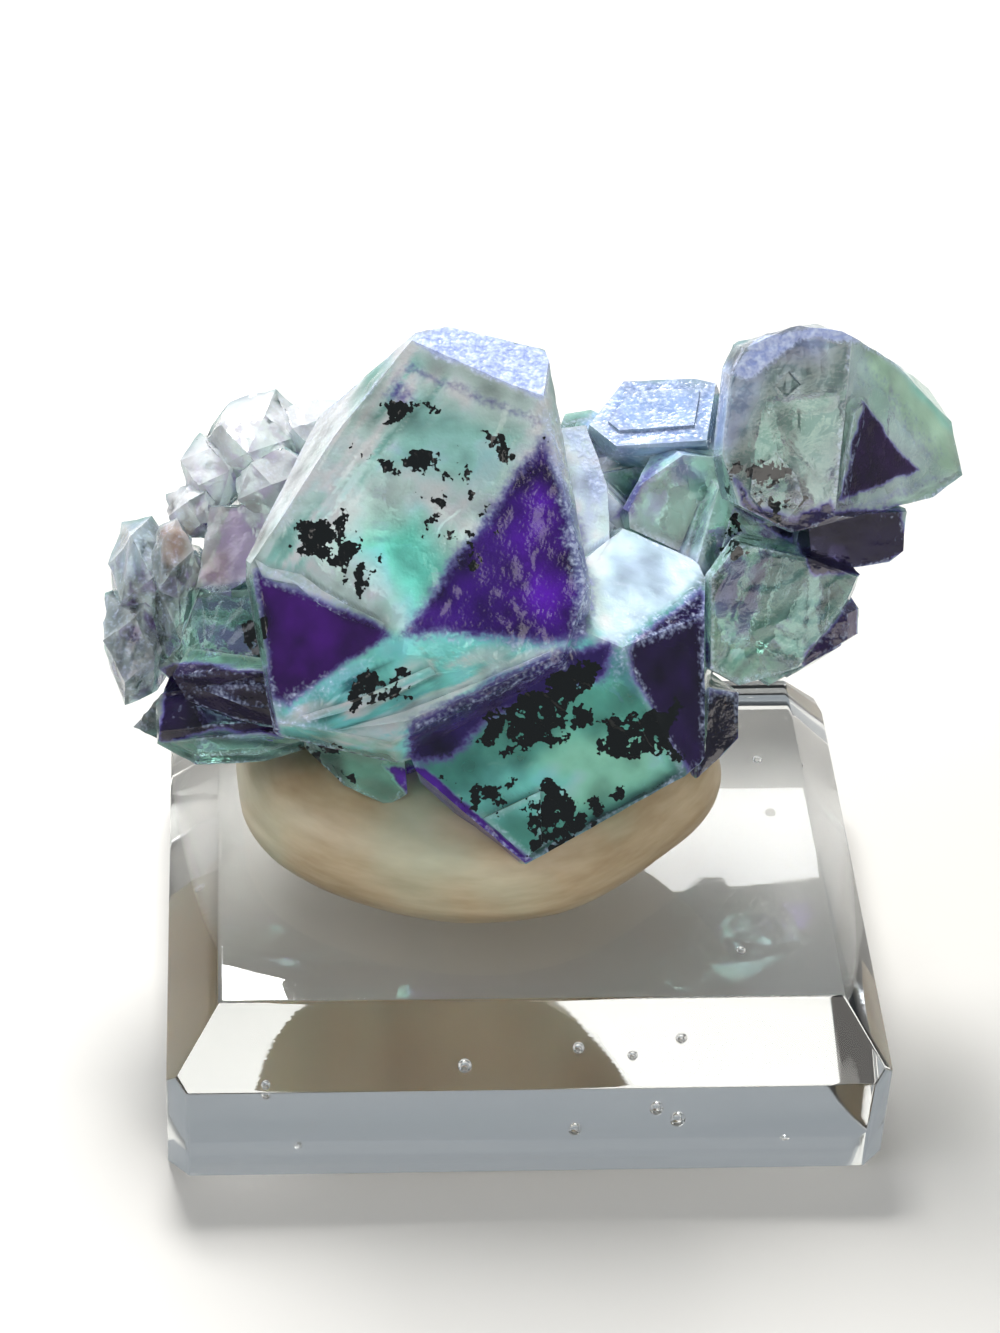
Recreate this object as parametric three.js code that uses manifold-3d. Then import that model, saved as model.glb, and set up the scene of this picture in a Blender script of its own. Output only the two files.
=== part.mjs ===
// A fluorite specimen: intergrown octahedral crystals pressed into a wad of putty on a bevelled
// clear block. Millimetres, Z up. The origin is the centre of the underside of the block.
import * as THREE from 'three';
import { ConvexGeometry } from 'three/addons/geometries/ConvexGeometry.js';
import { mergeVertices } from 'three/addons/utils/BufferGeometryUtils.js';
import Module from 'manifold-3d';

const wasm = await Module();
wasm.setup();

// The clear block: a two inch display base with bevelled top edges and chamfered corners.
const BASE_WIDTH = 50.8;
const BASE_DEPTH = 42;
const BASE_HEIGHT = 13.4;
const BEVEL_RUN = 3.7;
const BEVEL_DROP = 5.2;
const CORNER_CHAMFER = 1.4;

// The wad of putty, as it is pressed down: a rim that bulges out over a narrower foot.
const WAD_CENTRE = [-3.4, 2.8];
const WAD_HALF_WIDTH = 17.8;
const WAD_HALF_DEPTH = 14;
const WAD_HEIGHT = 8.4;
const WAD_SEGMENTS = 48;

// Where the crystals' own frame stands: x to the right, y up and t towards the best side.
const DISPLAY_CENTRE = [0.7, 4.4, 31.4];
const DISPLAY_AZIMUTH = -5.35;
const DISPLAY_ELEVATION = 39;
const DISPLAY_ROLL = 3.1;

// General clearances, and how close two points are before they count as one.
const TOUCH_GAP = 0.3;
const SEAT_LEVEL = BASE_HEIGHT + 1.6;
const PLATE_ROOT = 0.6;
const SMALL = 1e-6;
const INSIDE_SLACK = 1e-5;
const SAME_CORNER = 1e-3;
const SAME_POINT = 1e-4;
const CUTTER_SIZE = 200;

const degrees = THREE.MathUtils.degToRad;

// Turns the crystals' frame into the frame of the whole object.
function displayMatrix() {
  const azimuth = degrees(DISPLAY_AZIMUTH);
  const elevation = degrees(DISPLAY_ELEVATION);
  const toward = new THREE.Vector3(
    Math.sin(azimuth) * Math.cos(elevation),
    -Math.cos(azimuth) * Math.cos(elevation),
    Math.sin(elevation),
  );
  const right = new THREE.Vector3(0, 0, 1).cross(toward).normalize();
  right.applyAxisAngle(toward, degrees(DISPLAY_ROLL));
  const up = new THREE.Vector3().crossVectors(toward, right);
  const matrix = new THREE.Matrix4().makeBasis(right, up, toward);
  return matrix.setPosition(...DISPLAY_CENTRE);
}

// Solids

// The corner points where three of the given planes meet inside all the others.
function cornersOf(planes) {
  const corners = [];
  const matrix = new THREE.Matrix3();
  for (let i = 0; i < planes.length; i += 1) {
    for (let j = i + 1; j < planes.length; j += 1) {
      for (let k = j + 1; k < planes.length; k += 1) {
        const three = [planes[i], planes[j], planes[k]];
        const [a, b, c] = three.map((plane) => plane.normal);
        matrix.set(a.x, a.y, a.z, b.x, b.y, b.z, c.x, c.y, c.z);
        if (Math.abs(matrix.determinant()) < SMALL) continue;
        const point = new THREE.Vector3(...three.map((plane) => plane.reach));
        point.applyMatrix3(matrix.invert());
        const inside = planes.every((plane) => plane.normal.dot(point) < plane.reach + INSIDE_SLACK);
        if (inside && corners.every((corner) => corner.distanceTo(point) > SAME_CORNER)) {
          corners.push(point);
        }
      }
    }
  }
  return corners;
}

// Makes a manifold solid of a closed three.js geometry.
function toSolid(geometry) {
  const bare = geometry.clone();
  bare.deleteAttribute('normal');
  bare.deleteAttribute('uv');
  const merged = mergeVertices(bare, SAME_POINT);
  return new wasm.Manifold(new wasm.Mesh({
    numProp: 3,
    vertProperties: new Float32Array(merged.attributes.position.array),
    triVerts: new Uint32Array(merged.index.array),
  }));
}

// Makes a three.js geometry of a manifold solid.
function toGeometry(solid) {
  const { vertProperties, triVerts } = solid.getMesh();
  const geometry = new THREE.BufferGeometry();
  geometry.setAttribute('position', new THREE.BufferAttribute(vertProperties, 3));
  geometry.setIndex(new THREE.BufferAttribute(triVerts, 1));
  geometry.computeVertexNormals();
  return geometry;
}

// Fills the hollows that are left between joined crystals: of the separate shells of a solid,
// only the one that reaches farthest is kept.
function filled(solid) {
  const { vertProperties, triVerts } = solid.getMesh();
  const leader = Array.from({ length: vertProperties.length / 3 }, (_, index) => index);
  const find = (index) => {
    let root = index;
    while (leader[root] !== root) root = leader[root];
    leader[index] = root;
    return root;
  };
  for (let i = 0; i < triVerts.length; i += 3) {
    leader[find(triVerts[i + 1])] = find(triVerts[i]);
    leader[find(triVerts[i + 2])] = find(triVerts[i]);
  }
  let outermost = 0;
  leader.forEach((_, index) => {
    if (vertProperties[3 * index] > vertProperties[3 * outermost]) outermost = index;
  });
  const shell = find(outermost);
  const kept = Array.from(triVerts).filter((vertex) => find(vertex) === shell);
  const geometry = new THREE.BufferGeometry();
  geometry.setAttribute('position', new THREE.BufferAttribute(vertProperties, 3));
  geometry.setIndex(kept);
  return toSolid(geometry.toNonIndexed());
}

// The solid bounded by a set of planes, or nothing where they leave no room.
function polytope(planes) {
  const corners = cornersOf(planes);
  return corners.length < 4 ? null : toSolid(new ConvexGeometry(corners));
}

function shift(plane, distance) {
  return { normal: plane.normal, reach: plane.reach + distance };
}

// Crystals

// The direction a face looks, from how far it leans right and up from the viewer, in degrees.
function leaning([right, up]) {
  const a = degrees(right);
  const b = degrees(up);
  return new THREE.Vector3(Math.sin(a) * Math.cos(b), Math.sin(b), Math.cos(a) * Math.cos(b));
}

// A further face of a crystal, through a line that runs anticlockwise round it, with the angle
// that it turns away from the viewer.
function cutFace({ from, to, slope }) {
  const start = new THREE.Vector3(...from);
  const line = new THREE.Vector3(...to).sub(start).normalize();
  const viewer = new THREE.Vector3(0, 0, 1).addScaledVector(line, -line.z).normalize();
  const outward = new THREE.Vector3().crossVectors(line, viewer);
  const normal = outward.multiplyScalar(Math.sin(degrees(slope)));
  normal.addScaledVector(viewer, Math.cos(degrees(slope)));
  return { normal, reach: normal.dot(start) };
}

// A crystal known by its front face: the outline of that face, the slope of the side face that
// starts at each of its corners, and the same faces again opposite, as a crystal has them.
function facedCrystal({ at, lean, depth, girdle, corners, facets = [], cuts = [], tips = [] }) {
  const centre = new THREE.Vector3(...at);
  const normal = leaning(lean);
  const front = { normal, reach: normal.dot(centre) };
  const outline = corners.map(([x, y]) => {
    const drop = (normal.x * (x - at[0]) + normal.y * (y - at[1])) / normal.z;
    return new THREE.Vector3(x, y, at[2] - drop);
  });
  const planes = facets.length ? [] : [front];
  facets.forEach(([direction, tilt]) => {
    const along = new THREE.Vector3(Math.cos(degrees(direction)), Math.sin(degrees(direction)), 0);
    along.addScaledVector(normal, -along.dot(normal)).normalize();
    const tilted = normal.clone().multiplyScalar(Math.cos(degrees(tilt)));
    tilted.addScaledVector(along, Math.sin(degrees(tilt)));
    planes.push({ normal: tilted, reach: tilted.dot(centre) });
  });
  const tipPoints = tips.map((tip) => new THREE.Vector3(...tip));
  outline.forEach((corner, index) => {
    const next = outline[(index + 1) % outline.length];
    const outward = new THREE.Vector3().subVectors(next, corner).cross(normal).normalize();
    const slope = degrees(corners[index][2]);
    const side = outward.multiplyScalar(Math.sin(slope)).addScaledVector(normal, Math.cos(slope));
    planes.push({ normal: side, reach: side.dot(corner) });
    const opposite = side.clone().negate();
    const farthest = Math.max(...outline.map((point) => opposite.dot(point)));
    const tip = Math.max(-Infinity, ...tipPoints.map((point) => opposite.dot(point)));
    const reach = Math.max(farthest + girdle * Math.cos(slope), tip);
    planes.push({ normal: opposite, reach });
  });
  planes.push({ normal: normal.clone().negate(), reach: depth - front.reach });
  return planes.concat(cuts.map(cutFace));
}

// An octahedron with its corners cut by cube faces, by its middle, its size and how it is turned.
function octahedralCrystal({ at, size, turn, cut = 0.8 }) {
  const centre = new THREE.Vector3(...at);
  const rotation = new THREE.Euler(...turn.map(degrees));
  const directions = [];
  for (const x of [-1, 1]) {
    directions.push([x, 0, 0], [0, x, 0], [0, 0, x]);
    for (const y of [-1, 1]) {
      for (const z of [-1, 1]) directions.push([x, y, z]);
    }
  }
  return directions.map(([x, y, z]) => {
    const normal = new THREE.Vector3(x, y, z).normalize().applyEuler(rotation);
    const isCubeFace = Math.abs(x) + Math.abs(y) + Math.abs(z) === 1;
    const distance = isCubeFace ? size * cut : size / Math.sqrt(3);
    return { normal, reach: normal.dot(centre) + distance, isLarge: !isCubeFace };
  });
}

// A broken, rounded lump: the hull of points spread evenly over an uneven ball.
function lump({ at, radii, seed, points }) {
  const spread = [];
  for (let i = 0; i < points; i += 1) {
    const height = 1 - (2 * i + 1) / points;
    const angle = i * Math.PI * (3 - Math.sqrt(5)) + seed;
    const ring = Math.sqrt(1 - height * height);
    const swell = 0.86 + 0.14 * Math.sin(seed * 3.7 + i * 2.3) * Math.cos(seed + i * 1.1);
    spread.push(new THREE.Vector3(
      at[0] + radii[0] * swell * ring * Math.cos(angle),
      at[1] + radii[1] * swell * height,
      at[2] + radii[2] * swell * ring * Math.sin(angle),
    ));
  }
  return new ConvexGeometry(spread);
}

// Growth steps: thin plates on some faces of a crystal, set in from the edges of each.
function growthSteps(planes, stepped, steps) {
  const plates = [];
  steps.forEach(({ inset, rise }) => {
    stepped.forEach((raised) => {
      const plate = planes.map((plane) => shift(plane, plane === raised ? rise : -inset));
      plates.push(polytope(plate));
    });
  });
  return plates.filter(Boolean);
}

const BIG_STEPS = [{ inset: 1.3, rise: 0.18 }, { inset: 3, rise: 0.32 }];
const SMALL_STEPS = [{ inset: 1, rise: 0.16 }];

// The crystals of the best side. Each corner of a front face is x, y and the slope of the side
// face that starts there. A cut is a further face along a line, with its slope to the viewer.
const FACED_CRYSTALS = [
  {
    name: 'main', at: [-10, -2, 10], lean: [-2, -3], depth: 17, girdle: 3.2, steps: [],
    facets: [[95, 2.4], [20, 2.8], [-65, 3.4], [185, 3]],
    corners: [
      [-19.3, 2.2, 70], [-17.6, -8.3, 60], [-10, -9.6, 60], [1.5, -4.1, 66],
      [3, 0.5, 64], [0.3, 12.6, 36], [-8.9, 16.4, 66], [-13.6, 10.8, 66],
    ],
    tips: [[-4.9, 17, 7.9], [-1.1, 16.6, 7.1], [0.4, 15.6, 7.1]],
  },
  {
    name: 'front', at: [1.6, -9.7, 7.5], lean: [-4, -14], depth: 14, girdle: 2.6, steps: [],
    corners: [
      [-9, -10.1, 80], [-8.3, -11.9, 66], [-0.7, -18.4, 88],
      [10.2, -12.2, 46], [5.8, -3.4, 61], [1.4, -1.5, 80],
    ],
    cuts: [
      { from: [11.9, -12.4, 4], to: [11.7, 1, 4], slope: 84 },
      { from: [11.4, 2.8, 1.5], to: [5.8, 5.2, 1.5], slope: 95 },
    ],
    tips: [[6.2, 4.9, 2], [11.7, 2.1, 1.9], [10.7, 3.4, 2]],
  },
  {
    name: 'upper right', at: [18.2, 12.3, 6], lean: [6, 2], depth: 11, girdle: 2.2, steps: [],
    corners: [
      [12.8, 9.9, 80], [14, 6.4, 96], [17.7, 4.6, 92], [20.6, 5.3, 38],
      [21.9, 18.4, 75], [17.9, 18.9, 75], [14.5, 17.3, 75], [13.4, 15.4, 80],
    ],
    cuts: [
      { from: [20.4, 5.6, 6], to: [30.8, 8.2, 1], slope: 62 },
      { from: [31.2, 9.4, 1], to: [22, 19, 6], slope: 74 },
      { from: [30.8, 8, 0], to: [31.2, 10, 0], slope: 92 },
    ],
    tips: [[31.2, 8.8, 0], [31.2, 8.8, -2]],
  },
  {
    name: 'rear pane', at: [8.3, 13.6, -3], lean: [-5, 30], depth: 9, girdle: 2, steps: SMALL_STEPS,
    corners: [
      [3.9, 12.6, 80], [5.8, 11, 60], [12.2, 11.4, 80],
      [13, 15.6, 80], [11.5, 16, 88], [6.4, 15.8, 80],
    ],
  },
  {
    name: 'middle pane', at: [10.3, 7.1, -1], lean: [10, -5], depth: 10, girdle: 2, steps: [],
    corners: [
      [6.6, 6.3, 74], [6.7, 5.1, 80], [12.1, 2.7, 80], [14, 6.2, 80],
      [12.7, 10.1, 75], [10.5, 10.3, 70], [7.6, 8.3, 70],
    ],
  },
  {
    name: 'lower right', at: [17.2, -0.7, 2], lean: [8, -12], depth: 11, girdle: 1.6, steps: [],
    corners: [
      [12.3, 1.5, 76], [12.3, -4.9, 82], [14.4, -6, 84], [18.5, -4.8, 68],
      [21.8, -0.2, 66], [22.8, 2.1, 84], [19.4, 2.8, 76], [14.8, 4.6, 72],
    ],
  },
  {
    name: 'dark right', at: [22.9, 4.6, 1], lean: [20, -25], depth: 8, girdle: 1, steps: [],
    corners: [
      [19, 5.9, 80], [19.5, 2.4, 80], [22.8, 2.3, 84],
      [25.1, 2.7, 80], [26.1, 3.5, 80], [26.2, 6.2, 80],
    ],
  },
  {
    name: 'dark low', at: [13.4, -9.2, -2], lean: [20, -10], depth: 8, girdle: 1, steps: [],
    corners: [
      [11.5, -6, 80], [11.6, -12.6, 80], [13.4, -11, 80], [14.5, -9.8, 80], [14.5, -6.6, 80],
    ],
  },
  {
    name: 'left pane', at: [-22.2, 3.5, 1], lean: [-10, 5], depth: 9, girdle: 1.4, steps: [],
    corners: [
      [-23.9, 0.9, 80], [-22.2, 0.3, 84], [-19, 2, 80], [-18.4, 6.8, 80], [-23, 6.6, 72],
    ],
  },
  {
    name: 'green pane', at: [-23.2, -2.1, 2], lean: [-15, 0], depth: 8, girdle: 1.2, steps: [],
    corners: [
      [-25.4, -3.9, 75], [-23.8, -4.6, 75], [-19, -3.8, 84], [-18.5, 0.8, 84], [-23.8, 0.4, 75],
    ],
  },
  {
    name: 'dark left', at: [-21.5, -7, 5], lean: [-15, -20], depth: 9, girdle: 1.4, steps: SMALL_STEPS,
    corners: [
      [-25.2, -5.4, 74], [-24.3, -7, 62], [-20.5, -8.4, 60], [-16, -9.2, 84], [-16.5, -5, 84],
      [-21.9, -4.9, 74],
    ],
  },
  {
    name: 'far left', at: [-24.3, -7.8, 1], lean: [-25, -10], depth: 8, girdle: 1, steps: [],
    corners: [
      [-28.6, -9, 80], [-26.8, -9.8, 80], [-20, -9.4, 80], [-19.6, -5.4, 80], [-26.5, -6.6, 76],
    ],
  },
  {
    name: 'low slab', at: [-20.7, -10.2, 2], lean: [-5, -50], depth: 8, girdle: 1, steps: SMALL_STEPS,
    corners: [
      [-26.6, -10.1, 80], [-24, -11.6, 84], [-19.2, -11.4, 84], [-14.2, -9.9, 80],
      [-16.5, -8.2, 80], [-26.3, -9.2, 80],
    ],
  },
  {
    name: 'low column', at: [-12.5, -12, 3], lean: [5, -20], depth: 9, girdle: 1, steps: [],
    corners: [
      [-16, -10.4, 80], [-13.4, -13, 80], [-10.4, -14.4, 84],
      [-9, -13.6, 80], [-9.4, -8, 80], [-16, -8, 80],
    ],
  },
  {
    name: 'middle sliver', at: [3.9, 8.5, 1], lean: [10, 20], depth: 9, girdle: 1.4, steps: [],
    corners: [
      [0.5, 12, 80], [1.5, -1, 80], [5.4, 1, 80], [5.2, 5.8, 76], [5.2, 7.8, 72], [3.6, 12.4, 76],
    ],
  },
];

// Whole crystals that fill the heart of the cluster and its far side.
const WHOLE_CRYSTALS = [
  { at: [-4, -1, -1], size: 12, turn: [20, 30, 10], steps: [] },
  { at: [-10, 3, -7], size: 12.5, turn: [35, 12, 40], steps: BIG_STEPS },
  { at: [1, 5, -8], size: 11, turn: [15, 52, 20], steps: BIG_STEPS },
  { at: [-18, 3, -7], size: 9, turn: [60, 20, 15], steps: SMALL_STEPS },
  { at: [-20, -4, -4], size: 8.5, turn: [10, 45, 60], steps: SMALL_STEPS },
  { at: [7.5, -3, -7.5], size: 9.5, turn: [48, 10, 30], steps: BIG_STEPS },
  { at: [14, 3, -5], size: 8.5, turn: [28, 64, 5], steps: BIG_STEPS },
  { at: [13, 9, -7], size: 8, turn: [12, 25, 55], steps: SMALL_STEPS },
  { at: [19, 10, -1], size: 7.5, turn: [40, 40, 20], steps: SMALL_STEPS },
  { at: [4.5, 8.5, -8], size: 7, turn: [70, 15, 35], steps: SMALL_STEPS },
  { at: [-8, -7, -5], size: 9.5, turn: [25, 70, 15], steps: SMALL_STEPS },
  { at: [-15, -6, -3], size: 8, turn: [50, 35, 60], steps: [] },
  { at: [3, -10, -3], size: 9, turn: [30, 20, 75], steps: [] },
  { at: [18, -1, -3], size: 6.5, turn: [15, 60, 45], steps: SMALL_STEPS },
  { at: [-12, 10, -5], size: 6.5, turn: [42, 18, 66], steps: SMALL_STEPS },
  { at: [-3, 3, -15], size: 6.5, turn: [20, 48, 33], steps: SMALL_STEPS },
  { at: [9, 2, -13], size: 5.5, turn: [62, 8, 24], steps: SMALL_STEPS },
  { at: [-14, -1, -14], size: 5.5, turn: [33, 77, 12], steps: SMALL_STEPS },
];

// The white and the smoky masses at the left, which broke rather than grew flat.
const LUMPS = [
  { at: [-19.8, 11, -3], radii: [4.8, 4.6, 5], seed: 0.4, points: 20 },
  { at: [-15.2, 12, -2.4], radii: [3.8, 3.2, 4], seed: 1.9, points: 18 },
  { at: [-22.9, 9, -3], radii: [3.2, 3.4, 4], seed: 3.1, points: 16 },
  { at: [-18.2, 8.2, 0], radii: [4, 3.4, 3.4], seed: 5.2, points: 18 },
  { at: [-24.4, 6.4, -2], radii: [2.4, 2.6, 4], seed: 2.2, points: 14 },
  { at: [-27.9, 1.8, -3], radii: [3.4, 5.4, 5], seed: 0.9, points: 16 },
  { at: [-28.5, -3.2, -2.6], radii: [3.1, 5.6, 5], seed: 4.4, points: 16 },
  { at: [-25, -1, -3], radii: [4, 7, 5], seed: 2.7, points: 16 },
  { at: [-25.6, 2.8, 0], radii: [2, 3.6, 3], seed: 7.3, points: 14 },
];

// Small things on the faces of the best side, each with its own outline: a plate that stands up
// from the face where its rise is positive, a pit where it is negative.
const FACE_MARKS = [
  {
    crystal: 'main', face: 3, rise: 0.28,
    corners: [
      [-19.2, 2.7], [-18.2, 2.1], [-16, 1.6], [-14.5, 0.5], [-12.6, -0.6], [-10.4, -1.7],
      [-10.4, -2.2], [-13, -1.4], [-14.8, -0.4], [-16.3, 0.9], [-18.6, 1.4],
    ],
  },
  {
    crystal: 'main', face: 2, rise: 0.22,
    corners: [[-16, -8], [-12, -6.8], [-7.2, -4.6], [-6.8, -5.2], [-11.3, -7.3], [-15.6, -8.4]],
  },
  {
    crystal: 'main', face: 2, rise: 0.3,
    corners: [[-13.6, -9], [-9.3, -7.8], [-2.5, -5.1], [1, -3.6], [1, -4], [-2.5, -5.8], [-9, -8.4]],
  },
  {
    crystal: 'upper right', face: 0, rise: -0.45,
    corners: [[16.5, 14.7], [17.3, 13.9], [18.3, 14.8], [17.5, 15.7]],
  },
  {
    crystal: 'upper right', face: 0, rise: 0.35,
    corners: [
      [14.9, 8.9], [16.6, 9.9], [17.9, 8.5], [18.4, 6.8], [17.4, 5.6], [15.6, 6], [14.7, 7.1],
    ],
  },
  {
    crystal: 'upper right', face: 7, rise: 0.3,
    corners: [
      [22.6, 13.6], [21.9, 12.9], [21.3, 9.8], [20.9, 6.6], [21.4, 6.5], [21.8, 9.6], [22.6, 12.3],
    ],
  },
  {
    crystal: 'front', face: 0, rise: 0.34,
    corners: [[-3.6, -15.1], [0.3, -13.2], [0.4, -17], [-0.6, -17.8]],
  },
];

// A plate or pit with the given outline on a plane: the outline is seen along t.
function plateOn(plane, corners, rise) {
  const viewer = new THREE.Vector3(0, 0, 1);
  const across = new THREE.Vector3().crossVectors(new THREE.Vector3(0, 1, 0), plane.normal);
  across.normalize();
  const upward = new THREE.Vector3().crossVectors(plane.normal, across);
  const foot = plane.normal.clone().multiplyScalar(plane.reach);
  const flat = corners.map(([x, y]) => {
    const point = new THREE.Vector3(x, y, 0);
    const lift = (plane.reach - plane.normal.dot(point)) / plane.normal.dot(viewer);
    point.addScaledVector(viewer, lift).sub(foot);
    return new THREE.Vector2(point.dot(across), point.dot(upward));
  });
  const root = rise > 0 ? -PLATE_ROOT : rise;
  const depth = rise > 0 ? rise + PLATE_ROOT : PLATE_ROOT - rise;
  const geometry = new THREE.ExtrudeGeometry(new THREE.Shape(flat), { depth, bevelEnabled: false });
  geometry.translate(0, 0, root);
  geometry.applyMatrix4(new THREE.Matrix4().makeBasis(across, upward, plane.normal));
  return toSolid(geometry.translate(foot.x, foot.y, foot.z));
}

// The whole cluster in its own frame, grown outwards by a given distance.
function crystalsJoined(grow) {
  const solids = [];
  const pits = [];
  const add = (planes) => solids.push(polytope(planes.map((plane) => shift(plane, grow))));
  FACED_CRYSTALS.forEach((crystal) => {
    const planes = facedCrystal(crystal);
    add(planes);
    solids.push(...growthSteps(planes, planes.slice(0, 1), crystal.steps));
    const marks = FACE_MARKS.filter((mark) => mark.crystal === crystal.name);
    marks.forEach(({ face, corners, rise }) => {
      (rise > 0 ? solids : pits).push(plateOn(planes[face], corners, rise));
    });
  });
  WHOLE_CRYSTALS.forEach((crystal) => {
    const planes = octahedralCrystal(crystal);
    add(planes);
    solids.push(...growthSteps(planes, planes.filter((plane) => plane.isLarge), crystal.steps));
  });
  LUMPS.forEach(({ at, radii, seed, points }) => {
    const grown = radii.map((radius) => radius + grow);
    solids.push(toSolid(lump({ at, radii: grown, seed, points })));
  });
  const joined = solids.reduce((whole, solid) => whole.add(solid));
  return pits.reduce((whole, pit) => whole.subtract(pit), joined);
}

// The cluster where it stands, cut flat where it would reach down into the block.
function clusterSolid(grow) {
  const placed = crystalsJoined(grow).transform(displayMatrix().elements);
  const below = new THREE.BoxGeometry(CUTTER_SIZE, CUTTER_SIZE, CUTTER_SIZE);
  below.translate(0, 0, SEAT_LEVEL - grow - CUTTER_SIZE / 2);
  return filled(placed.subtract(toSolid(below)));
}

function fluoriteCluster() {
  const material = new THREE.MeshStandardMaterial({ color: 0x8fb9b4, roughness: 0.3, metalness: 0 });
  const mesh = new THREE.Mesh(toGeometry(clusterSolid(0)), material);
  mesh.name = 'fluorite_cluster';
  return mesh;
}

// The wad's section from the middle of its foot, out round the rim and back over its top.
function wadProfile() {
  const bulge = [[0, 0], [0.84, 0], [0.93, 0.08], [0.99, 0.26], [1, 0.46], [0.96, 0.66], [0.86, 0.84]];
  const top = [[0.66, 0.95], [0.4, 1], [0, 1]];
  return [...bulge, ...top].map(([out, height]) => new THREE.Vector2(out, height));
}

function mineralTack() {
  const geometry = new THREE.LatheGeometry(wadProfile(), WAD_SEGMENTS).rotateX(Math.PI / 2);
  const position = geometry.attributes.position;
  for (let i = 0; i < position.count; i += 1) {
    const x = position.getX(i);
    const y = position.getY(i);
    const height = position.getZ(i);
    const angle = Math.atan2(y, x);
    const uneven = 1 + 0.03 * Math.sin(3 * angle + 0.6) + 0.02 * Math.sin(5 * angle + 2);
    position.setX(i, WAD_CENTRE[0] + x * WAD_HALF_WIDTH * uneven);
    position.setY(i, WAD_CENTRE[1] + y * WAD_HALF_DEPTH * uneven);
    position.setZ(i, BASE_HEIGHT + height * WAD_HEIGHT);
  }
  const material = new THREE.MeshStandardMaterial({ color: 0xc9b393, roughness: 0.55, metalness: 0 });
  const solid = toSolid(geometry).subtract(clusterSolid(TOUCH_GAP));
  const mesh = new THREE.Mesh(toGeometry(solid), material);
  mesh.name = 'mineral_tack';
  return mesh;
}

// A face of the block, by the direction that it looks and a point that it passes through.
function blockFace(x, y, z, through) {
  const normal = new THREE.Vector3(x, y, z).normalize();
  return { normal, reach: normal.dot(new THREE.Vector3(...through)) };
}

function acrylicBase() {
  const halfWidth = BASE_WIDTH / 2;
  const halfDepth = BASE_DEPTH / 2;
  const shoulder = BASE_HEIGHT - BEVEL_DROP;
  const faces = [
    blockFace(0, 0, 1, [0, 0, BASE_HEIGHT]),
    blockFace(0, 0, -1, [0, 0, 0]),
  ];
  for (const side of [-1, 1]) {
    faces.push(blockFace(side, 0, 0, [side * halfWidth, 0, 0]));
    faces.push(blockFace(0, side, 0, [0, side * halfDepth, 0]));
    faces.push(blockFace(side * BEVEL_DROP, 0, BEVEL_RUN, [side * halfWidth, 0, shoulder]));
    faces.push(blockFace(0, side * BEVEL_DROP, BEVEL_RUN, [0, side * halfDepth, shoulder]));
    for (const end of [-1, 1]) {
      const corner = [side * (halfWidth - CORNER_CHAMFER), end * halfDepth, 0];
      faces.push(blockFace(side, end, 0, corner));
    }
  }
  const geometry = toGeometry(polytope(faces));
  const material = new THREE.MeshStandardMaterial({ color: 0xdfe6e4, roughness: 0.05, metalness: 0 });
  const mesh = new THREE.Mesh(geometry, material);
  mesh.name = 'acrylic_base';
  return mesh;
}

const specimen = new THREE.Group();
specimen.add(acrylicBase(), mineralTack(), fluoriteCluster());

export default specimen;
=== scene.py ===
"""Dresses a fluorite specimen: a crystal cluster, its wad of putty and its clear display block.

Lengths are in metres in Blender's meshes. The crystals are described in millimetres in a frame
of their own, the display frame: x to the right, y up and t towards the side that shows best.
"""
import logging
import math
from collections.abc import Callable
from dataclasses import dataclass, field
from enum import Enum

import bpy
import numpy as np
from mathutils import Matrix


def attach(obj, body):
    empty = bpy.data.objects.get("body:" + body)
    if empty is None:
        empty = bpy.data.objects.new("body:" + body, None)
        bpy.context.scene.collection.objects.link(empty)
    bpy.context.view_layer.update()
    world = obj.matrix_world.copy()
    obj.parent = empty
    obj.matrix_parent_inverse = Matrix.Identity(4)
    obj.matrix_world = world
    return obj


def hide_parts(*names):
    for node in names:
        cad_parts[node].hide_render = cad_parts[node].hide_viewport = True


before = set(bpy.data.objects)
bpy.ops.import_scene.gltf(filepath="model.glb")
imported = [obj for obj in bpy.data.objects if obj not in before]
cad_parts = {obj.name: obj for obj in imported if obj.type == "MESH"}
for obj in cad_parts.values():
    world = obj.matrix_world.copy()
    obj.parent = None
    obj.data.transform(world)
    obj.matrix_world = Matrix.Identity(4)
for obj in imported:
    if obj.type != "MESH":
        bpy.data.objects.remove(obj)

MM = 0.001
LOG = logging.getLogger("specimen")


def linear(hex_colour: str) -> tuple[float, float, float, float]:
    """Turns an sRGB hex colour into the linear values that a shader reads.

    Args:
        hex_colour: six hex digits, with or without a leading mark.

    Returns:
        Red, green, blue and an alpha of 1.
    """
    digits = hex_colour.lstrip("#")
    values = [int(digits[i:i + 2], 16) / 255 for i in (0, 2, 4)]
    bent = [v / 12.92 if v <= 0.04045 else ((v + 0.055) / 1.055) ** 2.4 for v in values]
    return (*bent, 1.0)


def rgb(hex_colour: str) -> np.ndarray:
    """The three linear values of an sRGB hex colour, as an array."""
    return np.array(linear(hex_colour)[:3])


def smoothstep(low: float, high: float, value: np.ndarray) -> np.ndarray:
    """The cubic 3s^2 - 2s^3 of a value's place s between two limits, from 0 to 1."""
    place = np.clip((value - low) / (high - low), 0, 1)
    return place * place * (3 - 2 * place)


def mixed(first: np.ndarray, second: np.ndarray, share: np.ndarray) -> np.ndarray:
    """The blend of two rows of values, with the given share of the second."""
    return first + (second - first) * share[:, None]


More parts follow.
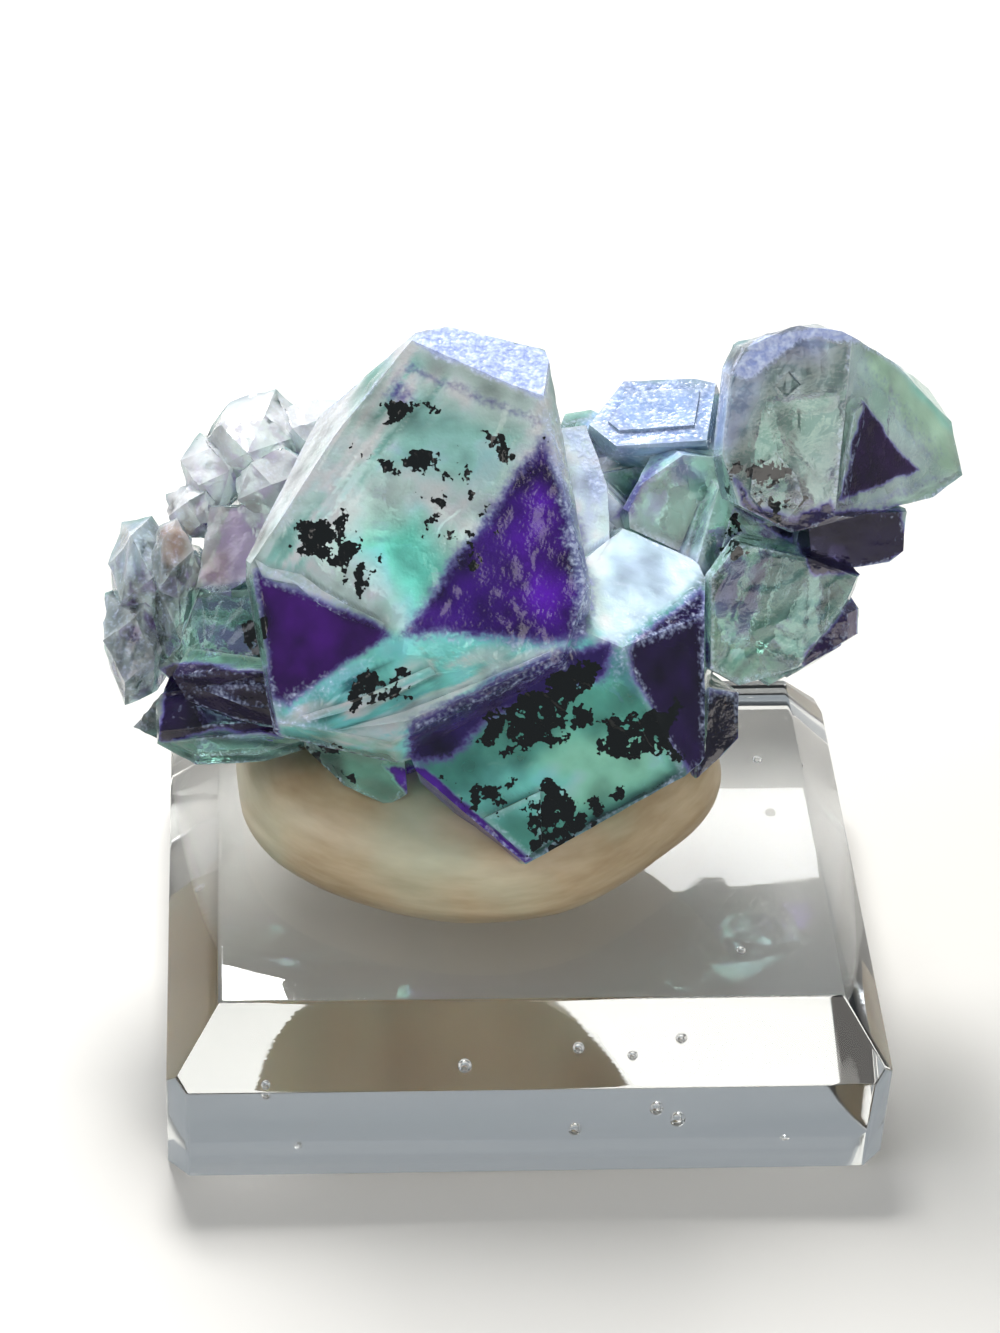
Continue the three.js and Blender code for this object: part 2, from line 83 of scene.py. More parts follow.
def lattice_noise(points: np.ndarray, period: float, seed: int) -> np.ndarray:
    """Smooth noise: random values at the corners of a cubic lattice, blended between them.

    Args:
        points: N by 3 places in millimetres.
        period: the lattice's spacing in millimetres.
        seed: picks another set of random values.

    Returns:
        N values from -1 to 1.
    """
    scaled = points / period + 17.3 * seed
    cell = np.floor(scaled)
    part = scaled - cell
    part = part * part * (3 - 2 * part)
    cell = cell.astype(np.int64)
    total = np.zeros(len(points))
    for corner in np.ndindex(2, 2, 2):
        lattice = (cell + corner).astype(np.uint64) * np.array([73856093, 19349663, 83492791], np.uint64)
        key = lattice[:, 0] ^ lattice[:, 1] ^ lattice[:, 2] ^ np.uint64(seed * 2654435761)
        key = (key ^ (key >> np.uint64(13))) * np.uint64(1274126177)
        value = ((key >> np.uint64(16)) & np.uint64(0xFFFF)).astype(float) / 32767.5 - 1
        weight = np.prod(np.where(np.array(corner) == 1, part, 1 - part), axis=1)
        total += weight * value
    return total


def cloudy_noise(points: np.ndarray, period: float, octaves: int, seed: int) -> np.ndarray:
    """Lattice noise summed over octaves, each half as wide and half as strong as the last."""
    layers = [0.5 ** i * lattice_noise(points, period * 0.5 ** i, seed + i) for i in range(octaves)]
    return sum(layers) / sum(0.5 ** i for i in range(octaves))


def stairs(value: np.ndarray, sharpness: float = 0.22) -> np.ndarray:
    """Turns a slope into stairs: whole steps joined by short steep risers."""
    step = np.floor(value)
    return step + smoothstep(1 - sharpness, 1, value - step)


def streaks(points: np.ndarray, direction: tuple[float, float], length: float, width: float,
            seed: int) -> np.ndarray:
    """Cloudy noise drawn out along a direction of the display frame.

    Args:
        points: N by 3 places in the display frame.
        direction: the direction in x and y, of length 1.
        length: how long a streak is, in millimetres.
        width: how wide it is, in millimetres.
        seed: picks another set of random values.

    Returns:
        N values from -1 to 1.
    """
    along = points[:, 0] * direction[0] + points[:, 1] * direction[1]
    across = points[:, 1] * direction[0] - points[:, 0] * direction[1]
    drawn = np.stack([along / length, across / width, points[:, 2] / length], axis=1)
    return cloudy_noise(drawn, 1.0, 3, seed)


def outline_distance(places: np.ndarray, corners: list[tuple[float, float]]) -> np.ndarray:
    """Signed distance from each place to a closed outline, negative inside it.

    Args:
        places: N by 2 places.
        corners: the outline's corners in order.

    Returns:
        N distances: the least distance to any side, with the sign of an even-odd test.
    """
    outline = np.array(corners, float)
    nearest = np.full(len(places), np.inf)
    inside = np.zeros(len(places), bool)
    for start, end in zip(outline, np.roll(outline, -1, axis=0)):
        side = end - start
        offset = places - start
        along = np.clip(offset @ side / (side @ side), 0, 1)
        nearest = np.minimum(nearest, np.linalg.norm(offset - along[:, None] * side, axis=1))
        spans = (start[1] > places[:, 1]) != (end[1] > places[:, 1])
        rise = end[1] - start[1] if end[1] != start[1] else 1e-9
        crossing = start[0] + (places[:, 1] - start[1]) * side[0] / rise
        inside ^= spans & (places[:, 0] < crossing)
    return np.where(inside, -nearest, nearest)


@dataclass
class Surface:
    """A closed triangle mesh held as arrays, in millimetres.

    Attributes:
        points: N by 3 places.
        faces: M by 3 corner numbers, anticlockwise from outside.
    """

    points: np.ndarray
    faces: np.ndarray

    @classmethod
    def of_node(cls, node: bpy.types.Object) -> "Surface":
        """Copies a CAD node's loose triangles and joins the corners that share a place.

        Args:
            node: the CAD node's object.

        Returns:
            The joined surface, in millimetres.
        """
        mesh = node.data
        mesh.calc_loop_triangles()
        places = np.empty(len(mesh.vertices) * 3)
        mesh.vertices.foreach_get("co", places)
        corners = np.empty(len(mesh.loop_triangles) * 3, np.int64)
        mesh.loop_triangles.foreach_get("vertices", corners)
        rounded = np.round(places.reshape(-1, 3) / MM, 3)
        points, number = np.unique(rounded, axis=0, return_inverse=True)
        faces = number.reshape(-1)[corners].reshape(-1, 3)
        apart = (faces[:, 0] != faces[:, 1]) & (faces[:, 1] != faces[:, 2]) & (faces[:, 2] != faces[:, 0])
        return cls(points, faces[apart])

    def face_normals(self) -> np.ndarray:
        """The unit normal of each triangle, from the cross product of two sides."""
        a, b, c = (self.points[self.faces[:, i]] for i in range(3))
        normal = np.cross(b - a, c - a)
        return normal / np.maximum(np.linalg.norm(normal, axis=1, keepdims=True), 1e-12)

    def corner_normals(self) -> np.ndarray:
        """The normal at each point: the sum of its triangles' normals, weighted by area."""
        a, b, c = (self.points[self.faces[:, i]] for i in range(3))
        weighted = np.cross(b - a, c - a)
        total = np.zeros_like(self.points)
        for i in range(3):
            np.add.at(total, self.faces[:, i], weighted)
        return total / np.maximum(np.linalg.norm(total, axis=1, keepdims=True), 1e-12)

    def split(self, limit: float, allowance: Callable[[np.ndarray], np.ndarray] | None = None) -> None:
        """Halves every side longer than a limit, over and over, with no cracks between triangles.

        A triangle with one, two or three halved sides becomes two, three or four triangles.

        Args:
            limit: the longest side that may stay, in millimetres.
            allowance: gives, for the N by 3 middles of sides, how many times longer they may be.
        """
        while True:
            faces = self.faces
            pairs = np.stack([faces, np.roll(faces, -1, axis=1)], axis=2)
            pairs = np.sort(pairs.reshape(-1, 2), axis=1)
            code, back = np.unique(pairs[:, 0] * (len(self.points) + 1) + pairs[:, 1], return_inverse=True)
            first, second = np.divmod(code, len(self.points) + 1)
            length = np.linalg.norm(self.points[first] - self.points[second], axis=1)
            middle = (self.points[first] + self.points[second]) / 2
            long = length > limit * (1 if allowance is None else allowance(middle))
            if not long.any():
                return
            number = np.full(len(code), -1)
            number[long] = len(self.points) + np.arange(long.sum())
            self.points = np.concatenate([self.points, middle[long]])
            halves = number[back].reshape(-1, 3)
            self.faces = self._divide(faces, halves)

    @staticmethod
    def _divide(faces: np.ndarray, halves: np.ndarray) -> np.ndarray:
        """Cuts each triangle through the middles of its halved sides.

        Args:
            faces: M by 3 corner numbers.
            halves: M by 3 numbers of the points halfway along each side, or -1.

        Returns:
            The new triangles.
        """
        count = (halves >= 0).sum(axis=1)
        parts = [faces[count == 0]]
        for wanted in (1, 2, 3):
            chosen = count == wanted
            face, half = faces[chosen], halves[chosen]
            if wanted == 1:
                start = np.argmax(half >= 0, axis=1)
            else:
                start = (np.argmin(half >= 0, axis=1) + 1) % 3 if wanted == 2 else np.zeros(len(face), int)
            turn = (np.arange(3) + start[:, None]) % 3
            a, b, c = np.take_along_axis(face, turn, axis=1).T
            ab, bc, ca = np.take_along_axis(half, turn, axis=1).T
            cuts = {
                1: [(a, ab, c), (ab, b, c)],
                2: [(a, ab, c), (ab, bc, c), (ab, b, bc)],
                3: [(a, ab, ca), (ab, b, bc), (ca, bc, c), (ab, bc, ca)],
            }[wanted]
            parts.extend(np.stack(cut, axis=1) for cut in cuts)
        return np.concatenate(parts)

    def sides(self) -> tuple[np.ndarray, np.ndarray, np.ndarray]:
        """The mesh's sides, each once, with the cosine of its bend and whether it bends outwards.

        Returns:
            K by 2 point numbers, K cosines between the two triangles, and K truth values.
        """
        pairs = np.stack([self.faces, np.roll(self.faces, -1, axis=1)], axis=2).reshape(-1, 2)
        pairs = np.sort(pairs, axis=1)
        owner = np.repeat(np.arange(len(self.faces)), 3)
        order = np.lexsort((pairs[:, 1], pairs[:, 0]))
        left, right = order[0::2], order[1::2]
        normal = self.face_normals()
        middle = self.points[self.faces].mean(axis=1)
        cosine = np.einsum("ij,ij->i", normal[owner[left]], normal[owner[right]])
        toward = middle[owner[right]] - middle[owner[left]]
        outward = np.einsum("ij,ij->i", normal[owner[left]], toward) < 0
        return pairs[left], cosine, outward

    def distance_along(self, pairs: np.ndarray, sources: np.ndarray, reach: float) -> np.ndarray:
        """How far each point is from the nearest source, walking along the mesh's sides.

        Args:
            pairs: K by 2 point numbers of the sides.
            sources: the numbers of the points that the walk starts from.
            reach: distances past this, in millimetres, aren't followed.

        Returns:
            N distances, no more than reach.
        """
        length = np.linalg.norm(self.points[pairs[:, 0]] - self.points[pairs[:, 1]], axis=1)
        distance = np.full(len(self.points), reach)
        distance[sources] = 0
        for _ in range(40):
            before = distance.copy()
            np.minimum.at(distance, pairs[:, 0], before[pairs[:, 1]] + length)
            np.minimum.at(distance, pairs[:, 1], before[pairs[:, 0]] + length)
            if np.allclose(before, distance):
                break
        return distance

    def join(self, other: "Surface") -> None:
        """Adds another surface's points and triangles to this one."""
        self.faces = np.concatenate([self.faces, other.faces + len(self.points)])
        self.points = np.concatenate([self.points, other.points])

    def to_mesh(self, name: str, attributes: dict[str, np.ndarray]) -> bpy.types.Object:
        """Puts the surface into Blender, in metres.

        Args:
            name: the new object's name.
            attributes: values per point, N for a number or N by 3 for a colour.

        Returns:
            The new object.
        """
        mesh = bpy.data.meshes.new(name)
        mesh.vertices.add(len(self.points))
        mesh.vertices.foreach_set("co", (self.points * MM).astype(np.float32).ravel())
        mesh.loops.add(len(self.faces) * 3)
        mesh.loops.foreach_set("vertex_index", self.faces.astype(np.int32).ravel())
        mesh.polygons.add(len(self.faces))
        mesh.polygons.foreach_set("loop_start", np.arange(0, len(self.faces) * 3, 3, dtype=np.int32))
        mesh.update(calc_edges=True)
        for key, values in attributes.items():
            if values.ndim == 1:
                layer = mesh.attributes.new(key, "FLOAT", "POINT")
                layer.data.foreach_set("value", values.astype(np.float32))
            else:
                layer = mesh.attributes.new(key, "FLOAT_COLOR", "POINT")
                rows = np.concatenate([values, np.ones((len(values), 1))], axis=1)
                layer.data.foreach_set("color", rows.astype(np.float32).ravel())
        piece = bpy.data.objects.new(name, mesh)
        bpy.context.scene.collection.objects.link(piece)
        return piece


def add_node(tree: bpy.types.NodeTree, kind: str, settings: dict | None = None, **links: object):
    """Adds a node with its settings, values and links.

    Args:
        tree: the material's node tree.
        kind: the node's type name.
        settings: the node's own properties, by name.
        **links: an input's name, with spaces as underscores or i0, i1 for a place in the list,
            and an output socket to link or a value to set.

    Returns:
        The new node.
    """
    node = tree.nodes.new(kind)
    for key, value in (settings or {}).items():
        setattr(node, key, value)
    for key, value in links.items():
        is_place = key[0] == "i" and key[1:].isdigit()
        socket = node.inputs[int(key[1:])] if is_place else node.inputs[key.replace("_", " ")]
        if isinstance(value, bpy.types.NodeSocket):
            tree.links.new(value, socket)
        else:
            socket.default_value = value
    return node


def new_material(name: str) -> tuple[bpy.types.Material, bpy.types.NodeTree]:
    """Makes a material with an empty node tree and gives both."""
    material = bpy.data.materials.new(name)
    material.use_nodes = True
    material.node_tree.nodes.clear()
    return material, material.node_tree


def mark_edges(mesh: bpy.types.Mesh, pairs: np.ndarray, name: str, kind: str) -> None:
    """Gives some of a mesh's edges a mark, such as sharp, as an attribute of its edges.

    Args:
        mesh: the mesh.
        pairs: K by 2 point numbers of the edges to mark.
        name: the attribute's name.
        kind: the attribute's type.
    """
    ends = np.empty(len(mesh.edges) * 2, np.int32)
    mesh.edges.foreach_get("vertices", ends)
    count = len(mesh.vertices) + 1
    marked = np.sort(pairs, axis=1) @ [count, 1]
    codes = np.sort(ends.reshape(-1, 2), axis=1) @ [count, 1]
    layer = mesh.attributes.new(name, kind, "EDGE")
    layer.data.foreach_set("value", np.isin(codes, marked))


@dataclass(frozen=True)
class DisplayFrame:
    """The frame in which the crystals are described, and the photograph's camera that shares it.

    Attributes:
        azimuth: degrees that the best side is turned from the front.
        elevation: degrees that the best side looks up.
        roll: degrees that the specimen leans in the picture.
        centre: the frame's origin in the object's frame, in millimetres.
        camera_centre: the camera's place in the object's frame, in millimetres.
        focal_pixels: the focal length in pixels of a picture 1333 pixels high.
    """

    azimuth: float = -5.35
    elevation: float = 39.02
    roll: float = 3.08
    centre: tuple[float, float, float] = (0.7, 4.4, 31.4)
    camera_centre: tuple[float, float, float] = (-20.5, -198.0, 190.1)
    focal_pixels: float = 3648.0
    picture_height: float = 1333.0

    def axes(self) -> np.ndarray:
        """Three rows: the directions right, up and towards the viewer."""
        turn, lift, roll = (math.radians(v) for v in (self.azimuth, self.elevation, self.roll))
        level = math.cos(lift)
        toward = np.array([math.sin(turn) * level, -math.cos(turn) * level, math.sin(lift)])
        right = np.cross([0, 0, 1], toward)
        right /= np.linalg.norm(right)
        up = np.cross(toward, right)
        rolled = math.cos(roll) * right + math.sin(roll) * up
        return np.stack([rolled, np.cross(toward, rolled), toward])

    def places(self, points: np.ndarray) -> np.ndarray:
        """Turns places in the object's frame into x, y and t of the display frame."""
        return (points - np.array(self.centre)) @ self.axes().T

    def directions(self, vectors: np.ndarray) -> np.ndarray:
        """Turns directions in the object's frame into those of the display frame."""
        return vectors @ self.axes().T

    def camera(self) -> bpy.types.Object:
        """Makes the camera that stands and looks as the photograph's does."""
        data = bpy.data.cameras.new("photo_camera")
        data.sensor_width = 36.0
        data.lens = self.focal_pixels / self.picture_height * data.sensor_width
        data.clip_start = 0.01
        camera = bpy.data.objects.new("photo_camera", data)
        rotation = Matrix(self.axes().T.tolist()).to_4x4()
        place = [value * MM for value in self.camera_centre]
        camera.matrix_world = Matrix.Translation(place) @ rotation
        bpy.context.scene.collection.objects.link(camera)
        bpy.context.scene.camera = camera
        return camera


class Layer(Enum):
    """The layers of values that the crystals' mesh carries for their material."""

    BODY = "body"
    ZONING = "zoning"
    PURPLE = "purple"
    FROST = "frost"
    SPECKS = "specks"
    CLARITY = "clarity"


@dataclass(frozen=True)
class Zone:
    """A soft-edged part of the best side, by its outline in the display frame.

    Attributes:
        corners: the outline's corners in millimetres.
        colour: its sRGB hex colour, where it has one.
        softness: how wide its border fades, in millimetres.
        strength: how strong it is, from 0 to 1.
        clarity: how much of the light that enters goes through, from 0 to 1.
        depth: the lowest t that it reaches.
    """

    corners: tuple[tuple[float, float], ...]
    colour: str = "#2B0A52"
    softness: float = 0.6
    strength: float = 1.0
    clarity: float = 0.5
    depth: float = -6.0

    def share(self, flat: np.ndarray, places: np.ndarray) -> np.ndarray:
        """How far each place belongs to the zone: a smooth step over the outline's distance.

        Args:
            flat: N by 2 places in the display frame.
            places: N by 3 places, for their depth.

        Returns:
            N values from 0 to the zone's strength.
        """
        inside = smoothstep(self.softness, -self.softness, outline_distance(flat, list(self.corners)))
        return self.strength * inside * (places[:, 2] > self.depth)


# The body's colours, from the back of the list to the front: mostly its own, and some partly painted light,
# marked where they stand.
BODY_ZONES = (
    Zone(((-32, 8), (-24, 7), (-24, 0), (-26, -4), (-26, -11), (-33, -11)), "#6C7371", 0.8, clarity=0.5),
    Zone(((-30, 8), (-27, 8), (-28, 2), (-31, 2)), "#B4C8D2", 0.8, clarity=0.4),
    Zone(((-26, 9), (-23.6, 8.4), (-24.6, 3), (-27, 2)), "#9C8679", 0.8, clarity=0.35),
    # The white mass: milky white of its own, brightened to pure white with a painted highlight where the
    # light strikes it.
    Zone(((-26, 5.6), (-26, 10), (-19, 16.6), (-12, 15.6), (-12.6, 11), (-19, 2), (-21, 6.4)), "#FFFFFF",
         1.0, clarity=0.45),
    Zone(((-24.6, 0.4), (-24, 7), (-18, 7.4), (-18.6, 2), (-22, -0.4)), "#E4DCDC", 0.7, clarity=0.6),
    Zone(((-24, 3.4), (-21.6, 3.4), (-22, 0.6), (-24, 0.8)), "#C9A267", 0.6, 0.3, 0.45),
    Zone(((-26.4, -4.4), (-23.6, -5.2), (-18, -4.4), (-18, 1.4), (-24.4, 0.9)), "#82B5A4", 0.5,
         clarity=0.8),
    Zone(((-28.6, -9.4), (-18, -9.8), (-9.4, -9.4), (-8.6, -15), (-16, -14.4), (-25, -13)), "#4A7468", 0.6,
         clarity=0.75),
    Zone(((-13.4, -9.6), (-9, -9.2), (-8.8, -15), (-13, -14.6)), "#8FE0C6", 0.5, clarity=0.75),
    Zone(((12.4, 10), (13.6, 5.6), (20, 4), (31.4, 8), (31, 10), (22, 19.4), (17, 19.8), (12.8, 16.4)),
         "#A6B5B0", 0.4, clarity=0.75),
    Zone(((12.6, 9), (13.4, 16), (17, 19), (21, 19), (20, 16.4), (16.4, 16.4), (14.6, 12)), "#7F86B4", 0.8,
         0.75, 0.45),
    Zone(((22, 19.4), (31.4, 10.4), (31.4, 8.8), (29, 9.4), (23.6, 15.2)), "#A9BFA8", 0.35, clarity=0.6),
    Zone(((20.8, 5.4), (31.2, 9.2), (31.4, 7.4), (21, 4.2)), "#B4D2C0", 0.3, clarity=0.6),
    Zone(((3.4, 9.8), (3.6, 13), (6, 16.4), (13.4, 16.4), (13, 9.6)), "#9DB6E6", 0.5, clarity=0.3,
         depth=-9),
    Zone(((5.6, 6), (6.6, 4.8), (12, 2.2), (14.4, 6), (12.8, 10.4), (8.6, 9.8)), "#B4E6D6", 0.6,
         clarity=0.7),
    Zone(((1, 13), (4, 13), (6.6, 7), (5, 1), (4, -2)), "#D6E8FB", 0.8, clarity=0.25),
    Zone(((12, 5), (11.8, -6), (14.6, -7), (19.6, -5.4), (23.4, -1), (23.6, 3), (15, 5.6)), "#83B09D", 0.5,
         clarity=0.8),
    Zone(((12, 0), (11.8, -6), (14.6, -7), (17, -5.6), (15, -1)), "#9ADBB8", 1.2, clarity=0.8),
    Zone(((-9.6, -8.6), (4, -2.6), (12, 1), (12, -12), (-0.8, -19), (-9.6, -12.4)), "#5CB0A2", 0.4,
         clarity=0.55),
    # The next two, on the front crystal's teal face: a pale lit patch, a painted highlight, and a bright aqua
    # patch, a painted glow of light coming through.
    Zone(((2, -9.6), (9, -10), (9.4, -12.2), (2, -14.6), (-2, -14)), "#A4F2D6", 1.2, clarity=0.5),
    Zone(((-6, -13.6), (-2, -11.4), (2.4, -12.4), (0.4, -14.8), (-3, -15.4)), "#7FE3DA", 0.9, clarity=0.5),
    Zone(((-0.8, -18.6), (0, -17.2), (10, -11.4), (12.2, -8), (12.2, -13)), "#1E3A3C", 0.5, clarity=0.3),
    # The front crystal's top face: pale blue-white, a painted highlight where the light glints on it.
    Zone(((4.2, -3.6), (4.4, 5.4), (11.4, 3.6), (12.2, 2), (5.8, -3.2)), "#D2EAFC", 0.5, clarity=0.3),
    # The next five, on the main crystal: its pale upper sector, aqua middle and cyan lower sector, pale aqua
    # of its own brightened with a painted glow of light coming through from behind.
    Zone(((-19.8, 1.8), (-13, 11.2), (-8.9, 17.5), (1, 16), (4.5, -0.5), (-9, -2.4)), "#E0F4EE", 0.6,
         clarity=0.5),
    Zone(((-19.8, 2.2), (-9, 17.4), (-6, 14.6), (-16, 1.8)), "#DDF9F2", 1.0, clarity=0.4),
    Zone(((-12.6, 4), (-8.6, -2.2), (-5.4, 1.6), (-8, 6)), "#78F5DC", 1.8, clarity=0.4),
    Zone(((-11, 9), (-8, 13.6), (-1, 11), (-3, 7.4)), "#A6F0E2", 1.2, 0.8),
    Zone(((-17.6, -7.6), (-10, -2.4), (4.4, -2.4), (2, -4.8), (-9.6, -11), (-18, -9.4)), "#8CF5EE", 0.6),
    Zone(((-8.9, 17.4), (0.4, 13.4), (1.4, 17.2), (-5, 19)), "#C9DAF6", 0.4, clarity=0.2),
)

PURPLE_ZONES = (
    Zone(((0.4, 10.6), (2.6, 5.2), (3.6, 0), (3.2, -2.6), (1.4, -3.1), (-2.5, -2.8), (-8.9, -2.2)),
         "#32086A", 1.4),
    Zone(((0.2, 7.6), (1.4, 5), (1.8, -1.4), (-1.6, -1.4), (-1.6, 2.8)), "#5A12AE", 2.4),
    Zone(((-19.2, 1.6), (-16, 0.5), (-13, -0.9), (-10, -2.4), (-13.3, -4.4), (-17, -7.4), (-18, -6.6)),
         "#3A0C62", 0.8),
    Zone(((6.3, -3.6), (11.6, 0.8), (12.2, -5.6), (12.2, -12.4), (10.4, -12), (6.8, -5.6)), "#1C0938",
         0.7),
    Zone(((-8.8, -11.4), (-8.6, -8.4), (-5.9, -7), (1.6, -3.6), (5.4, -3.2), (4.6, -5.4), (-2.8, -8),
         (-6, -11)), "#21124A", 1.0, 0.9),
    Zone(((-10.6, -11.6), (-7.7, -11.8), (-0.2, -18.1), (-2.6, -19), (-8, -14.8)), "#4E1A96", 0.3),
    Zone(((22.7, 13.6), (27, 9.2), (21.1, 6.7), (21.8, 10)), "#230A38", 0.3),
    Zone(((22, 18.2), (23.4, 17.4), (29.6, 10.4), (28, 8.8), (24, 14), (22.8, 14), (21.6, 11)), "#43325A",
         0.8, 0.22),
    Zone(((21.4, 6.4), (28, 9), (30, 8.9), (26, 7.2), (21.2, 5.5)), "#332A48", 0.5, 0.3),
    Zone(((13.4, 8.6), (14.2, 6.2), (17.7, 4.3), (20.9, 5), (20.4, 6.8), (17.8, 5.6), (15.2, 6.4)),
         "#1B1733", 0.5, 0.85),
    Zone(((17.8, 5.6), (25.8, 6.6), (26.6, 3.6), (24.2, 1.8), (19.4, 1.6)), "#1A1230", 0.5, 0.95),
    Zone(((23.4, 1.6), (24.6, -0.4), (22.8, -3.4), (19.2, -5.8), (19, -3.8), (22.4, 0)), "#24103C", 0.4,
         0.9),
    Zone(((11.4, -6.2), (15, -6.4), (15.4, -9.6), (13.4, -12), (11.4, -13.4)), "#1E1A2C", 0.5, 0.8),
    Zone(((-26.4, -5), (-23.6, -4.4), (-18.6, -5.2), (-17.7, -9.8), (-21.2, -9), (-26.4, -9.9)), "#1D0F33",
         0.5),
    Zone(((5.6, 6), (7.4, 9), (9.6, 10.8), (8.4, 8.6), (7, 6)), "#5A5AA0", 0.6, 0.6),
    Zone(((-9.4, 15.6), (-8.6, 15.2), (0.2, 11.4), (0.5, 11.9), (-8.6, 15.9)), "#4A42A0", 0.7, 0.45),
    Zone(((-10.6, 13.8), (-9.4, 15.4), (-8, 13.6), (-9.4, 12.6)), "#3F4FA8", 0.8, 0.45),
)

SPECK_ZONES = (
    Zone(((-10.8, 13.4), (-7, 14), (-6.2, 12.4), (-10, 11.8)), softness=0.7),
    Zone(((-11, 9.8), (-6.2, 10.1), (-5.8, 8), (-10.8, 7.8)), softness=0.7),
    Zone(((-3.8, 11.6), (-1.8, 11.4), (-1.4, 8.6), (-3.4, 9)), softness=0.8),
    Zone(((-16.8, 5.4), (-11.6, 5.6), (-10.6, -0.4), (-13.4, 0.8), (-16.8, 3.2)), softness=1.2),
    Zone(((-7, 4.6), (-5.6, 4.6), (-5.6, 3), (-7, 3)), softness=0.6, strength=0.8),
    Zone(((-15, 11), (2, 12), (-4, 1), (-16, 1)), softness=1.0, strength=0.42),
    Zone(((-20.6, -1.4), (-18.4, -1.4), (-18.6, -4), (-20.6, -4)), softness=0.5),
    Zone(((-1.6, -5.8), (4.4, -4), (4.2, -9.8), (-2.8, -11.4), (-5.4, -10.2)), softness=1.3),
    Zone(((3.6, -7.8), (10, -7), (10, -11), (4, -11)), softness=1.1),
    Zone(((-1.6, -12.6), (7, -13.4), (3, -16.6), (-0.6, -18)), softness=1.2, strength=0.95),
    Zone(((-6.6, -12.2), (-1, -12.2), (0, -14.8), (-4.8, -15)), softness=1.0, strength=0.9),
    Zone(((12.8, 9), (16.8, 10.4), (18.8, 7), (17.4, 5), (14, 5), (13, 7)), softness=0.5, strength=0.8),
    Zone(((12, 5.4), (15, 5.4), (17, 3), (13, 2.6)), softness=0.8, strength=0.75),
    Zone(((-17, -10.2), (-12.8, -9.9), (-12.8, -13), (-16, -12)), softness=0.6, strength=0.85),
    Zone(((-12, -4.6), (-7, -5), (-7, -7), (-14, -8.6)), softness=0.8, strength=0.7),
)

FROST_ZONES = (
    Zone(((-8.9, 17.4), (0.4, 13.2), (1.4, 17.2), (-5, 19)), softness=0.5),
    Zone(((0, 13), (1.2, 13), (4, 0.6), (3.6, -2.6), (2, -3.2), (2.4, 0.8)), softness=0.8, strength=0.6),
    Zone(((-8, -2.6), (3, -2.8), (2.4, -4.2), (-7, -3.6)), softness=0.6, strength=0.4),
    Zone(((-18.2, -7), (-13.6, -4.6), (-10.6, -3.4), (-13, -6.4), (-17.4, -9)), softness=0.8,
         strength=0.5),
    Zone(((-19.4, 2.6), (-16, 1.8), (-12, -0.4), (-12.6, -1.2), (-18.8, 0.8)), softness=0.5,
         strength=0.45),
    Zone(((12, 2), (5.8, -2.4), (4.6, -4.4), (5.4, -6.4), (6.6, -5), (7, -3.4), (12, 0.2)), softness=0.8,
         strength=0.5),
    Zone(((-8.6, -9.6), (-8.6, -8.2), (-5.9, -7), (1.6, -3.6), (1.6, -4.8), (-5.6, -8.2)), softness=0.6,
         strength=0.42),
    Zone(((3.4, 9.8), (3.6, 13), (6, 16.4), (13.4, 16.4), (13, 11.8), (5.6, 10)), softness=0.4,
         strength=0.55, depth=-9),
    Zone(((13.4, 15.4), (15, 18), (21.8, 19.4), (22.4, 17.8), (18, 17.8), (14.8, 15)), softness=0.5),
    Zone(((1, 12.6), (4, 12.6), (5.6, 8), (4.6, 6)), softness=0.7, strength=0.6),
    Zone(((-33, 8), (-24.4, 7), (-24, 0), (-26.4, -4), (-27, -10), (-33, -11)), softness=0.8,
         strength=0.34, depth=-12),
    Zone(((-26, 5.6), (-26, 10), (-19, 16.6), (-12, 15.6), (-12.6, 11), (-21, 6.4)), softness=1.0,
         strength=0.3),
)


@dataclass(frozen=True)
class Ledges:
    """A part of the best side that grew in fine parallel ledges.

    Attributes:
        zone: where it is.
        direction: the direction of the ledges in x and y, of length 1.
        period: the distance from ledge to ledge, in millimetres.
        rise: how far each stands up, in millimetres.
        light: the sRGB hex colour of the bright streaks along them.
        dark: the sRGB hex colour of the dark streaks.
    """

    zone: Zone
    direction: tuple[float, float]
    period: float
    rise: float
    light: str
    dark: str


LEDGES = (
    Ledges(Zone(((-18, -8.4), (-11, -4), (-2, -3.6), (3.4, -3.4), (1.6, -5), (-9.6, -10.8), (-18, -9.8)),
           softness=0.7), (0.9, 0.43), 0.6, 0.14, "#E2FFFC", "#2F6F78"),
    Ledges(Zone(((-19.6, 2.2), (-9, 16.8), (-5.6, 14.6), (-15.6, 1.6)), softness=1.0), (0.59, 0.81), 0.8,
           0.1, "#FFFFFF", "#8FC4BA"),
    Ledges(Zone(((-33, 8), (-24.4, 7), (-24, 0), (-26.4, -4), (-27, -10), (-33, -11)), softness=0.8),
           (0.1, 0.995), 0.9, 0.06, "#9BA6A6", "#35332F"),
    Ledges(Zone(((12.4, 1), (12.2, -5.6), (14.6, -6.4), (19, -5), (22.4, -0.6), (20, 2.6), (15, 4.4)),
           softness=0.5), (0.64, 0.77), 1.3, 0.05, "#B5E3CC", "#3C5B50"),
    Ledges(Zone(((-28.6, -9.4), (-18, -9.8), (-9.4, -9.4), (-8.6, -15), (-16, -14.4), (-25, -13)),
           softness=0.5), (0.98, -0.2), 0.7, 0.08, "#8FC9B4", "#16302C"),
)

# The white and smoky masses, which broke in blocks and chips: middle and half sizes.
MASSES = (
    ((-19.8, 11, -3), (4.8, 4.6, 5)),
    ((-15.2, 12, -2.4), (3.8, 3.2, 4)),
    ((-22.9, 9, -3), (3.2, 3.4, 4)),
    ((-18.2, 8.2, 0), (4, 3.4, 3.4)),
    ((-24.4, 6.4, -2), (2.4, 2.6, 4)),
    ((-27.9, 1.8, -3), (3.4, 5.4, 5)),
    ((-28.5, -3.2, -2.6), (3.1, 5.6, 5)),
    ((-25, -1, -3), (4, 7, 5)),
    ((-25.6, 2.8, 0), (2, 3.6, 3)),
)


